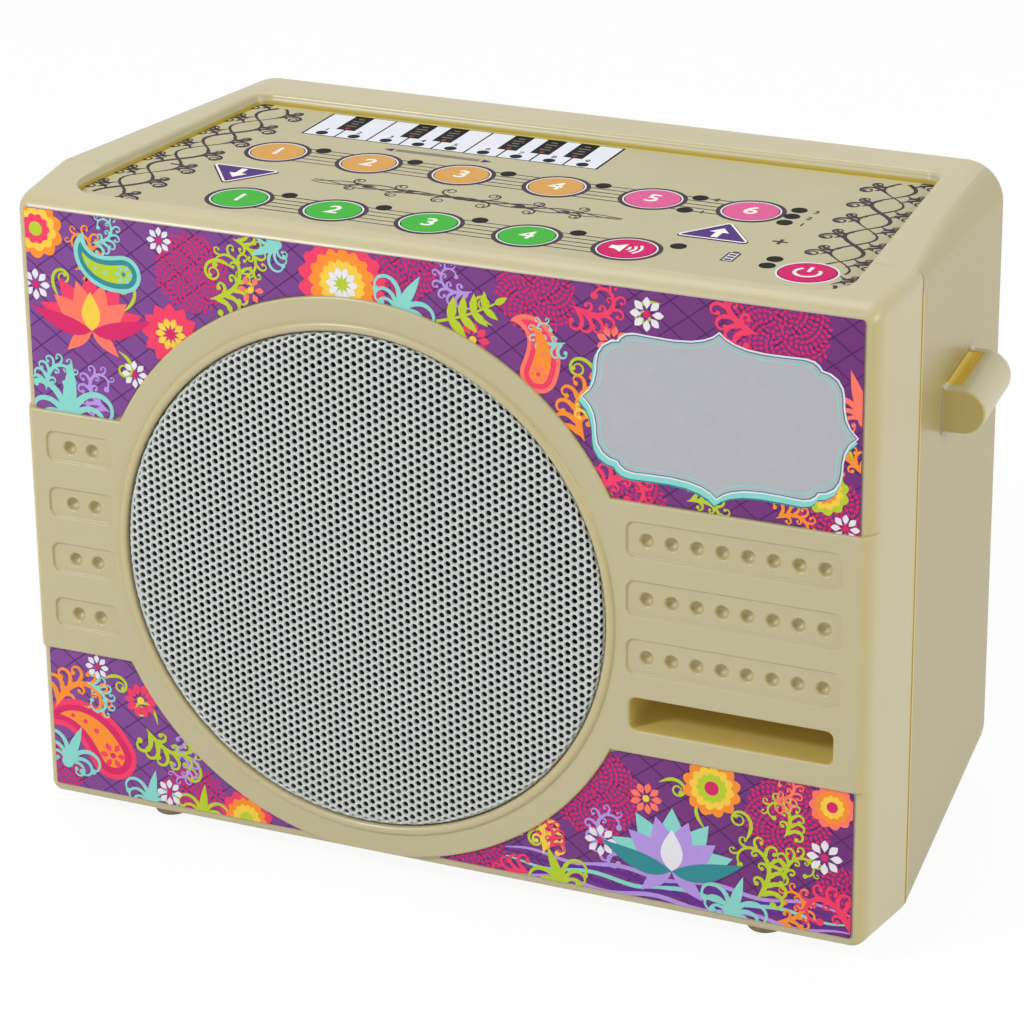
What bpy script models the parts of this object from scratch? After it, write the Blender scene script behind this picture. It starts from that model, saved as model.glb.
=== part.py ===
"""Electronic tanpura: a drone box with a front speaker, a keypad in its top and two strap loops.

Local frame: X to the right, Y from the front face to the back, Z up. Its origin is the middle of the case
at the height of the speaker's centre, on the sunken front face that carries the labels. The empty
tanpura_origin moves everything so that the world origin is under the middle of the whole object.
"""

import math

import bmesh
import bpy
from mathutils import Matrix, Vector

MM = 0.001

# Case
CASE_WIDTH = 267.8 * MM
CASE_HEIGHT = 194.3 * MM
FRONT_DEPTH = 30.3 * MM
REAR_DEPTH = 106.7 * MM
WALL = 2.5 * MM
SPEAKER_HEIGHT = 89.0 * MM
FRONT_DRAFT = math.radians(4.0)
SIDE_TAPER = math.radians(5.3)
UNDER_TAPER = math.radians(1.9)
FRONT_CORNER = 4.5 * MM
FRONT_EDGE = 3.3 * MM
FRONT_EDGE_DEPTH = 6.0 * MM
FRONT_TOP_EDGE = 4.2 * MM
FRONT_TOP_EDGE_DEPTH = 7.0 * MM
FRONT_BOTTOM_EDGE = 1.6 * MM
REAR_CORNER = 12.0 * MM
BACK_EDGE = 8.5 * MM
SEAM_GAP = 0.7 * MM
SEAM_CHAMFER = 0.4 * MM
TONGUE_LENGTH = 5.0 * MM
TONGUE_ROOT = 6.0 * MM
TONGUE_WALL = 1.6 * MM
GAP = 0.3 * MM

# Raised band and speaker ring on the front
RAISED = 1.5 * MM
BAND_HEIGHT = 76.8 * MM
SPEAKER_X = -22.1 * MM
RING_RADIUS = 86.4 * MM
BEAD_WIDTH = 2.8 * MM
BEAD_HEIGHT = 1.0 * MM

# Vent panels and bass port
VENT_ROW_PITCH = 17.75 * MM
VENT_TOP_ROW = 27.4 * MM
VENT_DEPTH = 0.8 * MM
VENT_CORNER = 2.4 * MM
RIGHT_VENT_LENGTH = 63.4 * MM
RIGHT_VENT_HEIGHT = 10.6 * MM
RIGHT_VENT_EDGE = 10.2 * MM
LEFT_VENT_LENGTH = 21.6 * MM
LEFT_VENT_HEIGHT = 9.2 * MM
LEFT_VENT_EDGE = 9.4 * MM
DIMPLE_PITCH = 7.5 * MM
DIMPLE_RADIUS = 2.1 * MM
DIMPLE_DEPTH = 1.4 * MM
PORT_LENGTH = 60.7 * MM
PORT_EDGE = 12.0 * MM
PORT_HEIGHT = 9.9 * MM
PORT_CORNER = 2.0 * MM
PORT_DEPTH = 28.0 * MM
PORT_WALL = 2.0 * MM

# Labels
LABEL_THICKNESS = 0.2 * MM
LABEL_SIDE_MARGIN = 3.6 * MM
LABEL_TOP_MARGIN = 3.0 * MM
LABEL_BOTTOM_MARGIN = 3.0 * MM
LABEL_CORNER = 5.0 * MM
LABEL_OUTER_CORNER = 0.8 * MM
LABEL_BLUNT = 1.0 * MM

# Speaker
GRILLE_RADIUS = 75.7 * MM
GRILLE_SHEET = 0.8 * MM
GRILLE_RISE = 3.0 * MM
GRILLE_ROLL = 3.0 * MM
GRILLE_FIELD = 70.5 * MM
GRILLE_PITCH = 13.6 * MM
GRILLE_HOLE = 9.0 * MM
THROAT_GAP = 0.6 * MM
SEAT_FRONT = 1.5 * MM
SEAT_THICKNESS = 3.5 * MM
SEAT_WIDTH = 9.0 * MM
SEAT_RIM = 4.0 * MM
GASKET_THICKNESS = 1.2 * MM
FLANGE_PAST_SCREW = 3.1 * MM
FLANGE_THICKNESS = 2.4 * MM
BASKET_DEPTH = 40.0 * MM
BASKET_BACK_RADIUS = 34.0 * MM
BASKET_HOLE = 18.0 * MM
BASKET_SHEET = 2.0 * MM
BASKET_WINDOWS = 6
SURROUND_LEDGE = 1.2 * MM
SURROUND_LEDGE_WIDTH = 4.5 * MM
SURROUND_ROLL = 4.0 * MM
SCREW_TO_SURROUND = 5.4 * MM
CONE_THICKNESS = 0.8 * MM
CONE_DEPTH = 22.0 * MM
COIL_RADIUS = 13.5 * MM
MAGNET_RADIUS = 38.0 * MM
MAGNET_DEPTH = 15.0 * MM
MAGNET_GAP = 2.0 * MM
TERMINAL_WIDTH = 12.0 * MM
SCREW_INSIDE_THROAT = 0.4 * MM

# Keypad
RIM_FRONT = 7.8 * MM
RIM_SIDE = 11.1 * MM
RIM_SIDE_BACK = 15.1 * MM
RIM_BACK = 22.7 * MM
RECESS_DEPTH = 3.4 * MM
RECESS_CORNER = 5.0 * MM
RECESS_FRONT_CORNER = 10.0 * MM
RECESS_DRAFT = 0.9 * MM
RIM_ROUND = 1.8 * MM
LEDGE_WIDTH = 6.0 * MM
LEDGE_THICKNESS = 2.0 * MM
OVERLAY_THICKNESS = 0.5 * MM
SPACER_THICKNESS = 1.1 * MM
BOARD_THICKNESS = 1.6 * MM
KEY_RADIUS = 8.0 * MM
KEY_FLANGE = 1.0 * MM
KEY_FLANGE_THICKNESS = 0.5 * MM
KEY_PROUD = 0.2 * MM
DOME_RADIUS = 5.0 * MM
DOME_HEIGHT = 0.4 * MM
KEY_PITCH = 30.2 * MM
REAR_KEYS = 6
FRONT_KEYS = 5
REAR_ROW = 61.9 * MM
FRONT_ROW = 17.6 * MM
REAR_ROW_INSET = 40.8 * MM
FRONT_ROW_INSET = 51.3 * MM
POWER_KEY_INSET = 20.3 * MM
POWER_KEY_ROW = 17.3 * MM
DOWN_ARROW_INSET = 40.0 * MM
DOWN_ARROW_ROW = 37.0 * MM
UP_ARROW_INSET = 55.0 * MM
UP_ARROW_ROW = 41.5 * MM
ARROW_SIDE = 20.6 * MM
ARROW_LENGTH = 15.0 * MM
ARROW_CORNER = 1.2 * MM
LED_SIZE = 2.0 * MM
LED_HEIGHT = 0.9 * MM
LED_WINDOW = 3.2 * MM
LED_ASIDE = 12.3 * MM
REAR_LED_ROW = 6.0 * MM
FRONT_LED_ROW = 7.6 * MM
POWER_LED_PITCH = 5.9 * MM
SCALE_LED_INSET = 38.8 * MM
SCALE_LED_PITCH = 10.7 * MM
SCALE_LED_ROW = 85.6 * MM
SHARP_LED_ROW = 96.5 * MM

# Strap loops
LOOP_LENGTH = 35.6 * MM
LOOP_HEIGHT = 13.0 * MM
LOOP_REACH = 12.6 * MM
LOOP_SLOT = 4.8 * MM
LOOP_BASE = 0.9 * MM
LOOP_END = 4.3 * MM
LOOP_FRONT = 26.6 * MM
LOOP_BELOW_TOP = 50.1 * MM
LOOP_TENON = 6.0 * MM

# Feet
FOOT_HEIGHT = 4.7 * MM
FOOT_RADIUS = 8.0 * MM
FOOT_DRAFT = 1.5 * MM
FOOT_STEM_RADIUS = 3.0 * MM
FOOT_STEM_LENGTH = 6.0 * MM
FOOT_INSET_X = 37.0 * MM
FRONT_FOOT_Y = 19.5 * MM
REAR_FOOT_Y = 20.0 * MM

# Case screws
POST_RADIUS = 6.5 * MM
POST_INSET_X = 25.9 * MM
POST_BELOW_TOP = 19.3 * MM
POST_ABOVE_BOTTOM = 19.0 * MM
BOSS_RADIUS = 4.2 * MM
BOSS_PAST_SEAM = 1.5 * MM
BOSS_HOLE = 24.0 * MM
WELL_RADIUS = 4.4 * MM
WELL_FLOOR = 5.0 * MM
CASE_SCREW_RADIUS = 1.5 * MM
CASE_SCREW_HEAD = 3.7 * MM
CASE_SCREW_HEAD_HEIGHT = 2.4 * MM
SMALL_SCREW_RADIUS = 1.2 * MM
SMALL_SCREW_HEAD = 2.8 * MM
SMALL_SCREW_HEAD_HEIGHT = 1.8 * MM
SCREW_TIP_ROOM = 0.6 * MM

# Main board, sockets and leads
MAIN_BOARD_WIDTH = 160.0 * MM
MAIN_BOARD_BOTTOM = 12.0 * MM
MAIN_BOARD_TOP_ROOM = 11.8 * MM
STANDOFF_LENGTH = 7.0 * MM
STANDOFF_RADIUS = 3.5 * MM
STANDOFF_INSET = 6.0 * MM
CONNECTOR_DEPTH = 8.0 * MM
CONNECTOR_HEIGHT = 6.0 * MM
RIBBON_CONNECTOR_Y = 16.0 * MM
CAPACITOR_RADIUS = 5.0 * MM
CAPACITOR_HEIGHT = 14.0 * MM
JACK_ROW = 18.0 * MM
JACK_SPACING = 22.0 * MM
DC_NOZZLE = 5.4 * MM
DC_BORE = 3.2 * MM
DC_PIN = 1.0 * MM
LINE_JACK_TO_BOARD_END = 18.0 * MM
LINE_NOZZLE = 4.2 * MM
LINE_BORE = 1.8 * MM
JACK_BORE_DEPTH = 8.5 * MM
RIBBON_WIDTH = 30.0 * MM
RIBBON_THICKNESS = 0.6 * MM
LEAD_RADIUS = 1.3 * MM
LEAD_HOLE_ROOM = 2.4 * MM

# Battery bay, door and pack
DOOR_WIDTH = 124.0 * MM
DOOR_HEIGHT = 60.0 * MM
DOOR_THICKNESS = 2.1 * MM
DOOR_ABOVE_BOTTOM = 19.0 * MM
DOOR_GAP = 0.4 * MM
DOOR_LEDGE = 3.0 * MM
BAY_DEPTH = 28.0 * MM
BAY_WALL = 5.0 * MM
BAY_BACK_WALL = 2.5 * MM
TONGUE_WIDTH = 12.0 * MM
TONGUE_X = 40.0 * MM
TONGUE_REACH = 2.7 * MM
TONGUE_DEPTH = 4.0 * MM
THUMB_NOTCH_RADIUS = 10.0 * MM
THUMB_NOTCH_DEPTH = 1.2 * MM
CELL_RADIUS = 11.4 * MM
CELL_HEIGHT = 43.0 * MM
CELLS = 5
BATTERY_LEAD_X = -45.6 * MM

# Values worked out from the ones above
HALF_WIDTH = CASE_WIDTH / 2
BOTTOM = -SPEAKER_HEIGHT
TOP = CASE_HEIGHT - SPEAKER_HEIGHT
PARTING = FRONT_DEPTH
BACK = FRONT_DEPTH + REAR_DEPTH
BACK_INSIDE = BACK - WALL
RECESS_BACK = BACK - RIM_BACK
BAND_HALF = BAND_HEIGHT / 2
GRILLE_FRONT = -GRILLE_RISE
OVERLAY_TOP = TOP - RECESS_DEPTH
SPACER_TOP = OVERLAY_TOP - OVERLAY_THICKNESS - GAP
BOARD_TOP = SPACER_TOP - SPACER_THICKNESS - GAP
BOARD_BOTTOM = BOARD_TOP - BOARD_THICKNESS
LEDGE_TOP = BOARD_BOTTOM - GAP
LEDGE_BOTTOM = LEDGE_TOP - LEDGE_THICKNESS
THROAT_RADIUS = GRILLE_RADIUS + THROAT_GAP
SEAT_INNER = THROAT_RADIUS - SEAT_WIDTH
SEAT_BACK = SEAT_FRONT + SEAT_THICKNESS
SPEAKER_HOLE_BOTTOM = SEAT_FRONT + SEAT_THICKNESS * 0.3
FLANGE_FRONT = SEAT_BACK + GAP
FLANGE_BACK = FLANGE_FRONT + FLANGE_THICKNESS
BASKET_BACK = FLANGE_FRONT + BASKET_DEPTH
SPEAKER_SCREW_CIRCLE = THROAT_RADIUS - SCREW_INSIDE_THROAT
SPEAKER_RADIUS = SPEAKER_SCREW_CIRCLE + FLANGE_PAST_SCREW
SURROUND_RADIUS = SPEAKER_SCREW_CIRCLE - SCREW_TO_SURROUND
SURROUND_FRONT = FLANGE_FRONT + SURROUND_LEDGE - GAP - CONE_THICKNESS
MAGNET_FRONT = BASKET_BACK + GAP
PORT_X = HALF_WIDTH - PORT_EDGE - PORT_LENGTH / 2
PORT_Z = VENT_TOP_ROW - 3 * VENT_ROW_PITCH
RIGHT_VENT_X = HALF_WIDTH - RIGHT_VENT_EDGE - RIGHT_VENT_LENGTH / 2
LEFT_VENT_X = -HALF_WIDTH + LEFT_VENT_EDGE + LEFT_VENT_LENGTH / 2
POST_X = HALF_WIDTH - POST_INSET_X
POST_HIGH = TOP - POST_BELOW_TOP
POST_LOW = BOTTOM + POST_ABOVE_BOTTOM
BOSS_END = PARTING + BOSS_PAST_SEAM
POST_FRONT = BOSS_END + GAP
WELL_BOTTOM = POST_FRONT + WELL_FLOOR
KEYPAD_HALF = HALF_WIDTH - RIM_SIDE
STANDOFF_END = BACK_INSIDE - STANDOFF_LENGTH
MAIN_BOARD_BACK = STANDOFF_END - GAP
MAIN_BOARD_FRONT = MAIN_BOARD_BACK - BOARD_THICKNESS
MAIN_BOARD_TOP = LEDGE_BOTTOM - MAIN_BOARD_TOP_ROOM
JACK_Z = MAIN_BOARD_BOTTOM + JACK_ROW
LINE_JACK_X = MAIN_BOARD_WIDTH / 2 - LINE_JACK_TO_BOARD_END
DC_JACK_X = LINE_JACK_X - JACK_SPACING
DOOR_BOTTOM = BOTTOM + DOOR_ABOVE_BOTTOM
DOOR_TOP = DOOR_BOTTOM + DOOR_HEIGHT
BAY_FRONT = BACK_INSIDE - BAY_DEPTH
BAY_FLOOR = DOOR_BOTTOM + DOOR_LEDGE
BAY_CEILING = DOOR_TOP - DOOR_LEDGE
PACK_Y = BAY_FRONT + GAP + CELL_RADIUS
PACK_BOTTOM = BAY_FLOOR + GAP
PACK_TOP = PACK_BOTTOM + CELL_HEIGHT
BATTERY_CONNECTOR_BOTTOM = MAIN_BOARD_BOTTOM + 2 * MM

# How finely round shapes are drawn
RING_STEPS = 48
SPEAKER_STEPS = 24
SMALL_STEPS = 12

# Finishes: linear colour, roughness, metallic
IVORY = (0.62, 0.55, 0.34), 0.42, 0.0
OVERLAY_CREAM = (0.66, 0.60, 0.42), 0.35, 0.0
GRILLE_GREY = (0.60, 0.60, 0.58), 0.38, 0.35
LABEL_PURPLE = (0.23, 0.10, 0.36), 0.30, 0.0
ORANGE = (0.90, 0.37, 0.06), 0.35, 0.0
PINK = (0.88, 0.20, 0.38), 0.35, 0.0
GREEN = (0.03, 0.46, 0.03), 0.35, 0.0
MAGENTA = (0.74, 0.01, 0.16), 0.35, 0.0
PURPLE = (0.07, 0.03, 0.27), 0.35, 0.0
RUBBER_CREAM = (0.60, 0.54, 0.38), 0.70, 0.0
RUBBER_BLACK = (0.02, 0.02, 0.02), 0.80, 0.0
SPEAKER_BLACK = (0.03, 0.03, 0.032), 0.55, 0.3
PAPER_BLACK = (0.02, 0.02, 0.02), 0.90, 0.0
FERRITE = (0.06, 0.06, 0.065), 0.50, 0.6
STEEL = (0.55, 0.56, 0.58), 0.30, 1.0
GREEN_BOARD = (0.03, 0.16, 0.07), 0.45, 0.0
CLEAR_GREY = (0.45, 0.45, 0.45), 0.50, 0.0
JACK_BLACK = (0.02, 0.02, 0.02), 0.40, 0.0
LEAD_GREY = (0.30, 0.30, 0.31), 0.60, 0.0
SLEEVE_GREEN = (0.02, 0.20, 0.10), 0.30, 0.0


def clear_scene():
    for block in list(bpy.data.objects):
        bpy.data.objects.remove(block, do_unlink=True)


def world_origin():
    """The empty that puts the world origin under the middle of the object."""
    empty = bpy.data.objects.new("tanpura_origin", None)
    empty.location = (0, -(BACK + GRILLE_FRONT) / 2, SPEAKER_HEIGHT + FOOT_HEIGHT)
    bpy.context.scene.collection.objects.link(empty)
    return empty


def add_object(name, data, finish, location=(0, 0, 0)):
    """One named sub-part with a material of its own, placed under the empty."""
    colour, roughness, metallic = finish
    look = bpy.data.materials.new(name + "_finish")
    look.use_nodes = True
    shader = look.node_tree.nodes["Principled BSDF"]
    shader.inputs["Base Color"].default_value = (*colour, 1.0)
    shader.inputs["Roughness"].default_value = roughness
    shader.inputs["Metallic"].default_value = metallic
    look.diffuse_color = (*colour, 1.0)
    made = bpy.data.objects.new(name, data)
    made.location = location
    made.parent = ORIGIN
    made.data.materials.append(look)
    bpy.context.scene.collection.objects.link(made)
    return made


def mesh_of(name, shape, smooth_angle=30):
    """A mesh from a bmesh, with its faces pointing out and its round faces smooth."""
    bmesh.ops.recalc_face_normals(shape, faces=shape.faces)
    mesh = bpy.data.meshes.new(name)
    shape.to_mesh(mesh)
    shape.free()
    mesh.shade_smooth()
    mesh.set_sharp_from_angle(angle=math.radians(smooth_angle))
    return mesh


def add_solid(name, shape, finish, location=(0, 0, 0)):
    return add_object(name, mesh_of(name, shape), finish, location)


def combine(target, operation, name, shapes):
    """One Boolean with several hidden helpers, which may overlap each other."""
    helpers = bpy.data.collections.new(target.name + "_" + name)
    bpy.context.scene.collection.children.link(helpers)
    for i, shape in enumerate(shapes):
        helper = bpy.data.objects.new(f"{target.name}_{name}_{i}", mesh_of(name, shape))
        helper.location = target.location
        helper.parent = ORIGIN
        helper.hide_render = True
        helper.display_type = "WIRE"
        helpers.objects.link(helper)
    modifier = target.modifiers.new(name, "BOOLEAN")
    modifier.operation = operation
    modifier.solver = "EXACT"
    modifier.operand_type = "COLLECTION"
    modifier.collection = helpers


def skin(rings, closed_round=False):
    """A closed body through rings of points that hold the same count, with flat ends or joined end to end."""
    shape = bmesh.new()
    rows = [[shape.verts.new(point) for point in ring] for ring in rings]
    count = len(rows[0])
    for row, following in zip(rows, rows[1:] + (rows[:1] if closed_round else [])):
        for i in range(count):
            j = (i + 1) % count
            shape.faces.new((row[i], row[j], following[j], following[i]))
    if not closed_round:
        shape.faces.new(list(reversed(rows[0])))
        shape.faces.new(rows[-1])
    return shape


def lathe(profile, steps, centre=(0, 0), axis="Y"):
    """A body turned about a line along Y through (x, z), or along Z through (x, y).

    Its (radius, place along the line) points start and end on the line, or else form a closed ring.
    """
    shape = bmesh.new()
    rings = []
    for radius, along in profile:
        turns = [2 * math.pi * (i + 0.5) / steps for i in range(steps if radius else 1)]
        points = [(centre[0] + radius * math.cos(t), centre[1] + radius * math.sin(t)) for t in turns]
        rings.append([shape.verts.new((a, along, b) if axis == "Y" else (a, b, along)) for a, b in points])
    followers = rings[1:] + (rings[:1] if profile[0][0] else [])
    for ring, following in zip(rings, followers):
        for i in range(steps):
            near = ring[i % len(ring)], ring[(i + 1) % len(ring)]
            far = following[(i + 1) % len(following)], following[i % len(following)]
            corners = list(dict.fromkeys(near + far))
            if len(corners) > 2:
                shape.faces.new(corners)
    return shape


def rod(radius, x, z, y0, y1, steps=SMALL_STEPS):
    """A round boss or cutter along Y."""
    return lathe([(0, y0), (radius, y0), (radius, y1), (0, y1)], steps, (x, z))


def upright(radius, x, y, z0, z1, steps=SMALL_STEPS):
    """A round boss or cutter along Z."""
    return lathe([(0, z0), (radius, z0), (radius, z1), (0, z1)], steps, (x, y), "Z")


def prism(outline, low, high, axis="Z"):
    """An outline of (a, b) points extruded along Z as (x, y), or along Y as (x, z)."""
    if axis == "Z":
        return skin([[(a, b, level) for a, b in outline] for level in (low, high)])
    return skin([[(a, level, b) for a, b in outline] for level in (low, high)])


def box(x0, x1, y0, y1, z0, z1):
    return prism([(x0, y0), (x1, y0), (x1, y1), (x0, y1)], z0, z1)


def arc(centre, radius, start, end, steps):
    """Points on an arc in degrees, ends included."""
    turns = [math.radians(start + (end - start) * i / steps) for i in range(steps + 1)]
    return [(centre[0] + radius * math.cos(t), centre[1] + radius * math.sin(t)) for t in turns]


def rounded_rectangle(left, right, low, high, radius, steps=3):
    """Anticlockwise points, from the lower right corner."""
    return (
        arc((right - radius, low + radius), radius, -90, 0, steps)
        + arc((right - radius, high - radius), radius, 0, 90, steps)
        + arc((left + radius, high - radius), radius, 90, 180, steps)
        + arc((left + radius, low + radius), radius, 180, 270, steps)
    )


def bezier(start, lean_out, lean_in, end, steps):
    """Points along a cubic curve that leaves start towards lean_out and reaches end from lean_in."""
    points = []
    for i in range(steps + 1):
        t = i / steps
        weights = (1 - t) ** 3, 3 * t * (1 - t) ** 2, 3 * t * t * (1 - t), t ** 3
        pulls = [w * Vector(p) for w, p in zip(weights, (start, lean_out, lean_in, end))]
        points.append(sum(pulls, Vector()))
    return points


def front_half(y):
    return HALF_WIDTH - (PARTING - y) * math.tan(FRONT_DRAFT)


def front_top(y):
    return TOP - (PARTING - y) * math.tan(FRONT_DRAFT)


def front_bottom(y):
    return BOTTOM + (PARTING - y) * math.tan(FRONT_DRAFT)


def rear_half(y):
    return HALF_WIDTH - (y - PARTING) * math.tan(SIDE_TAPER)


def rear_bottom(y):
    return BOTTOM + (y - PARTING) * math.tan(UNDER_TAPER)


def front_corner(y):
    """The case's corners, seen from the front, grow rounder from the front face to the seam."""
    return FRONT_CORNER + (REAR_CORNER - FRONT_CORNER) * y / PARTING


def front_loop(y, inset=0.0, top=None):
    half = front_half(y) - inset
    high = front_top(y) - inset if top is None else top
    corner = max(front_corner(y) - inset, 0.6 * MM)
    return [(x, y, z) for x, z in rounded_rectangle(-half, half, front_bottom(y) + inset, high, corner)]


def rear_loop(y, inset=0.0, corner=REAR_CORNER, top=None):
    half = rear_half(y) - inset
    high = TOP - inset if top is None else top
    corner = max(corner - inset, 1.5 * MM)
    return [(x, y, z) for x, z in rounded_rectangle(-half, half, rear_bottom(y) + inset, high, corner, 4)]


def front_edge_loop(turn):
    """One loop of the rounding round the front face, longer towards the back along the top and sides."""
    along, across = 1 - math.cos(turn), 1 - math.sin(turn)
    depths = [FRONT_EDGE_DEPTH * along, FRONT_TOP_EDGE_DEPTH * along, FRONT_BOTTOM_EDGE * along]
    insets = [FRONT_EDGE * across, FRONT_TOP_EDGE * across, FRONT_BOTTOM_EDGE * across]
    half = front_half(depths[0]) - insets[0]
    high = front_top(depths[1]) - insets[1]
    low = front_bottom(depths[2]) + insets[2]
    radius = front_corner(depths[0]) - insets[0]
    points = []
    for x, z in rounded_rectangle(-half, half, low, high, radius):
        upper = min(max((z - high + radius) / radius, 0.0), 1.0)
        lower = min(max((low + radius - z) / radius, 0.0), 1.0)
        depth = depths[0] + (depths[1] - depths[0]) * upper + (depths[2] - depths[0]) * lower
        points.append((x, depth, z))
    return points


def recess_outline(inset):
    """The keypad recess seen from above: parallel to the case's sides, which taper behind the seam."""
    front, back = RIM_FRONT + inset, RECESS_BACK - inset
    half_front = front_half(RIM_FRONT) - RIM_SIDE - inset
    half_middle = HALF_WIDTH - RIM_SIDE - inset
    half_back = rear_half(RECESS_BACK) - RIM_SIDE_BACK - inset
    radius = max(RECESS_CORNER - inset, 1.0 * MM)
    wide = max(RECESS_FRONT_CORNER - inset, 1.0 * MM)
    right = (
        arc((half_front - wide, front + wide), wide, -90, 0, 5)
        + [(half_middle, PARTING)]
        + arc((half_back - radius, back - radius), radius, 5, 90, 3)
    )
    return right + [(-x, y) for x, y in reversed(right)]


def post_places():
    return [(side * POST_X, level) for level in (POST_HIGH, POST_LOW) for side in (-1, 1)]


def speaker_screw_places():
    aside = SPEAKER_SCREW_CIRCLE * math.sqrt(0.5)
    return [(SPEAKER_X + x * aside, z * aside) for x, z in ((1, 1), (-1, 1), (-1, -1), (1, -1))]


def board_screw_places():
    half = MAIN_BOARD_WIDTH / 2 - STANDOFF_INSET
    levels = MAIN_BOARD_TOP - STANDOFF_INSET, MAIN_BOARD_BOTTOM + STANDOFF_INSET
    return [(side * half, level) for level in levels for side in (-1, 1)]


def foot_places():
    """(x, y) of the four feet: front left, front right, rear left, rear right."""
    reach = HALF_WIDTH - FOOT_INSET_X
    return [(side * reach, y) for y in (FRONT_FOOT_Y, BACK - REAR_FOOT_Y) for side in (-1, 1)]


def vent_panels():
    """(centre x, centre z, length, height, dimples) of each sunken vent panel."""
    rows = [VENT_TOP_ROW - i * VENT_ROW_PITCH for i in range(4)]
    panels = [(RIGHT_VENT_X, z, RIGHT_VENT_LENGTH, RIGHT_VENT_HEIGHT, 8) for z in rows[:3]]
    return panels + [(LEFT_VENT_X, z, LEFT_VENT_LENGTH, LEFT_VENT_HEIGHT, 2) for z in rows]


def port_outline(grow):
    half = PORT_LENGTH / 2 + grow
    rise = PORT_HEIGHT / 2 + grow
    return rounded_rectangle(PORT_X - half, PORT_X + half, PORT_Z - rise, PORT_Z + rise, PORT_CORNER + grow)


def round_keys():
    """(name, x, y, finish) of each round key: the rear row, the front row and the power key."""
    rear_x, front_x = -KEYPAD_HALF + REAR_ROW_INSET, -KEYPAD_HALF + FRONT_ROW_INSET
    keys = [(f"rear_key_{i + 1}", rear_x + i * KEY_PITCH, REAR_ROW) for i in range(REAR_KEYS)]
    keys += [(f"front_key_{i + 1}", front_x + i * KEY_PITCH, FRONT_ROW) for i in range(FRONT_KEYS)]
    keys.append(("power_key", KEYPAD_HALF - POWER_KEY_INSET, POWER_KEY_ROW))
    finishes = 4 * [ORANGE] + 2 * [PINK] + 4 * [GREEN] + 2 * [MAGENTA]
    return [(name, x, RIM_FRONT + row, finish) for (name, x, row), finish in zip(keys, finishes)]


def arrow_keys():
    """(name, x, y, way) of the two triangular keys; way is 1 where the tip points to the back."""
    return [
        ("up_key", KEYPAD_HALF - UP_ARROW_INSET, RIM_FRONT + UP_ARROW_ROW, 1),
        ("down_key", -KEYPAD_HALF + DOWN_ARROW_INSET, RIM_FRONT + DOWN_ARROW_ROW, -1),
    ]


def arrow_outline(way, grow, x=0.0, y=0.0):
    """A triangle with rounded corners, widened by grow all round."""
    half = ARROW_SIDE / 2 - ARROW_CORNER
    rise = ARROW_LENGTH / 2 - ARROW_CORNER
    lean = math.degrees(math.atan2(half, 2 * rise))
    radius = ARROW_CORNER + grow
    points = (
        arc((half, -rise), radius, -90, lean, 3)
        + arc((0, rise), radius, lean, 180 - lean, 3)
        + arc((-half, -rise), radius, 180 - lean, 270, 3)
    )
    return [(x + a, y + way * b) for a, b in points]


def led_places():
    """(x, y) of the lamps beside the keys: one, two or three at a rear key, one at each front key."""
    keys = {name: (x, y) for name, x, y, _ in round_keys()}
    rear = [keys[f"rear_key_{i + 1}"] for i in range(REAR_KEYS)]
    front = [keys[f"front_key_{i + 1}"] for i in range(FRONT_KEYS)]
    places = [(x + LED_ASIDE, y + REAR_LED_ROW) for x, y in rear]
    places += [(x + LED_ASIDE, y - REAR_LED_ROW) for x, y in rear[-2:]]
    places.append((rear[-1][0] + LED_ASIDE, rear[-1][1]))
    places += [(x + LED_ASIDE, y + FRONT_LED_ROW) for x, y in front]
    power_x, power_y = keys["power_key"]
    places += [(power_x - LED_ASIDE, power_y + FRONT_LED_ROW - i * POWER_LED_PITCH) for i in range(2)]
    return places


def scale_led_places():
    """(x, y) of the lamps under the printed keyboard: nine naturals, then six sharps."""
    start = -KEYPAD_HALF + SCALE_LED_INSET + SCALE_LED_PITCH / 2
    naturals = [(start + i * SCALE_LED_PITCH, RIM_FRONT + SCALE_LED_ROW) for i in range(9)]
    sharps = [(start + (i + 0.5) * SCALE_LED_PITCH, RIM_FRONT + SHARP_LED_ROW) for i in (0, 2, 3, 5, 6, 7)]
    return naturals + sharps


def speaker_ring():
    """The raised ring round the grille: a bead at its inner edge, the throat and the speaker's seat."""
    edge = SEAM_CHAMFER
    bead = THROAT_RADIUS + BEAD_WIDTH / 2
    profile = [(RING_RADIUS, SEAT_FRONT), (RING_RADIUS, -RAISED + edge), (RING_RADIUS - edge, -RAISED)]
    for turn in (0, 60, 120):
        across = math.cos(math.radians(turn)) * BEAD_WIDTH / 2
        profile.append((bead + across, -RAISED - math.sin(math.radians(turn)) * BEAD_HEIGHT))
    seat_outer = THROAT_RADIUS + SEAT_RIM
    profile += [(THROAT_RADIUS, -RAISED), (THROAT_RADIUS, SEAT_FRONT), (SEAT_INNER, SEAT_FRONT)]
    profile += [(SEAT_INNER, SEAT_BACK), (seat_outer, SEAT_BACK), (seat_outer, SEAT_FRONT)]
    return lathe(profile, RING_STEPS, (SPEAKER_X, 0))


def raised_band():
    """The band across the front, whose rounded ends run out into the case's sides."""
    fade = FRONT_EDGE_DEPTH + RAISED
    right = [(front_half(fade) - RAISED, fade)]
    for turn in (90, 60, 30, 0):
        angle = math.radians(turn)
        depth = FRONT_EDGE_DEPTH * (1 - math.cos(angle))
        half = front_half(depth) - FRONT_EDGE * (1 - math.sin(angle))
        right.append((half, depth - RAISED))
    outline = right + [(-x, y) for x, y in reversed(right)]
    return prism(outline, -BAND_HALF, BAND_HALF)


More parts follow.
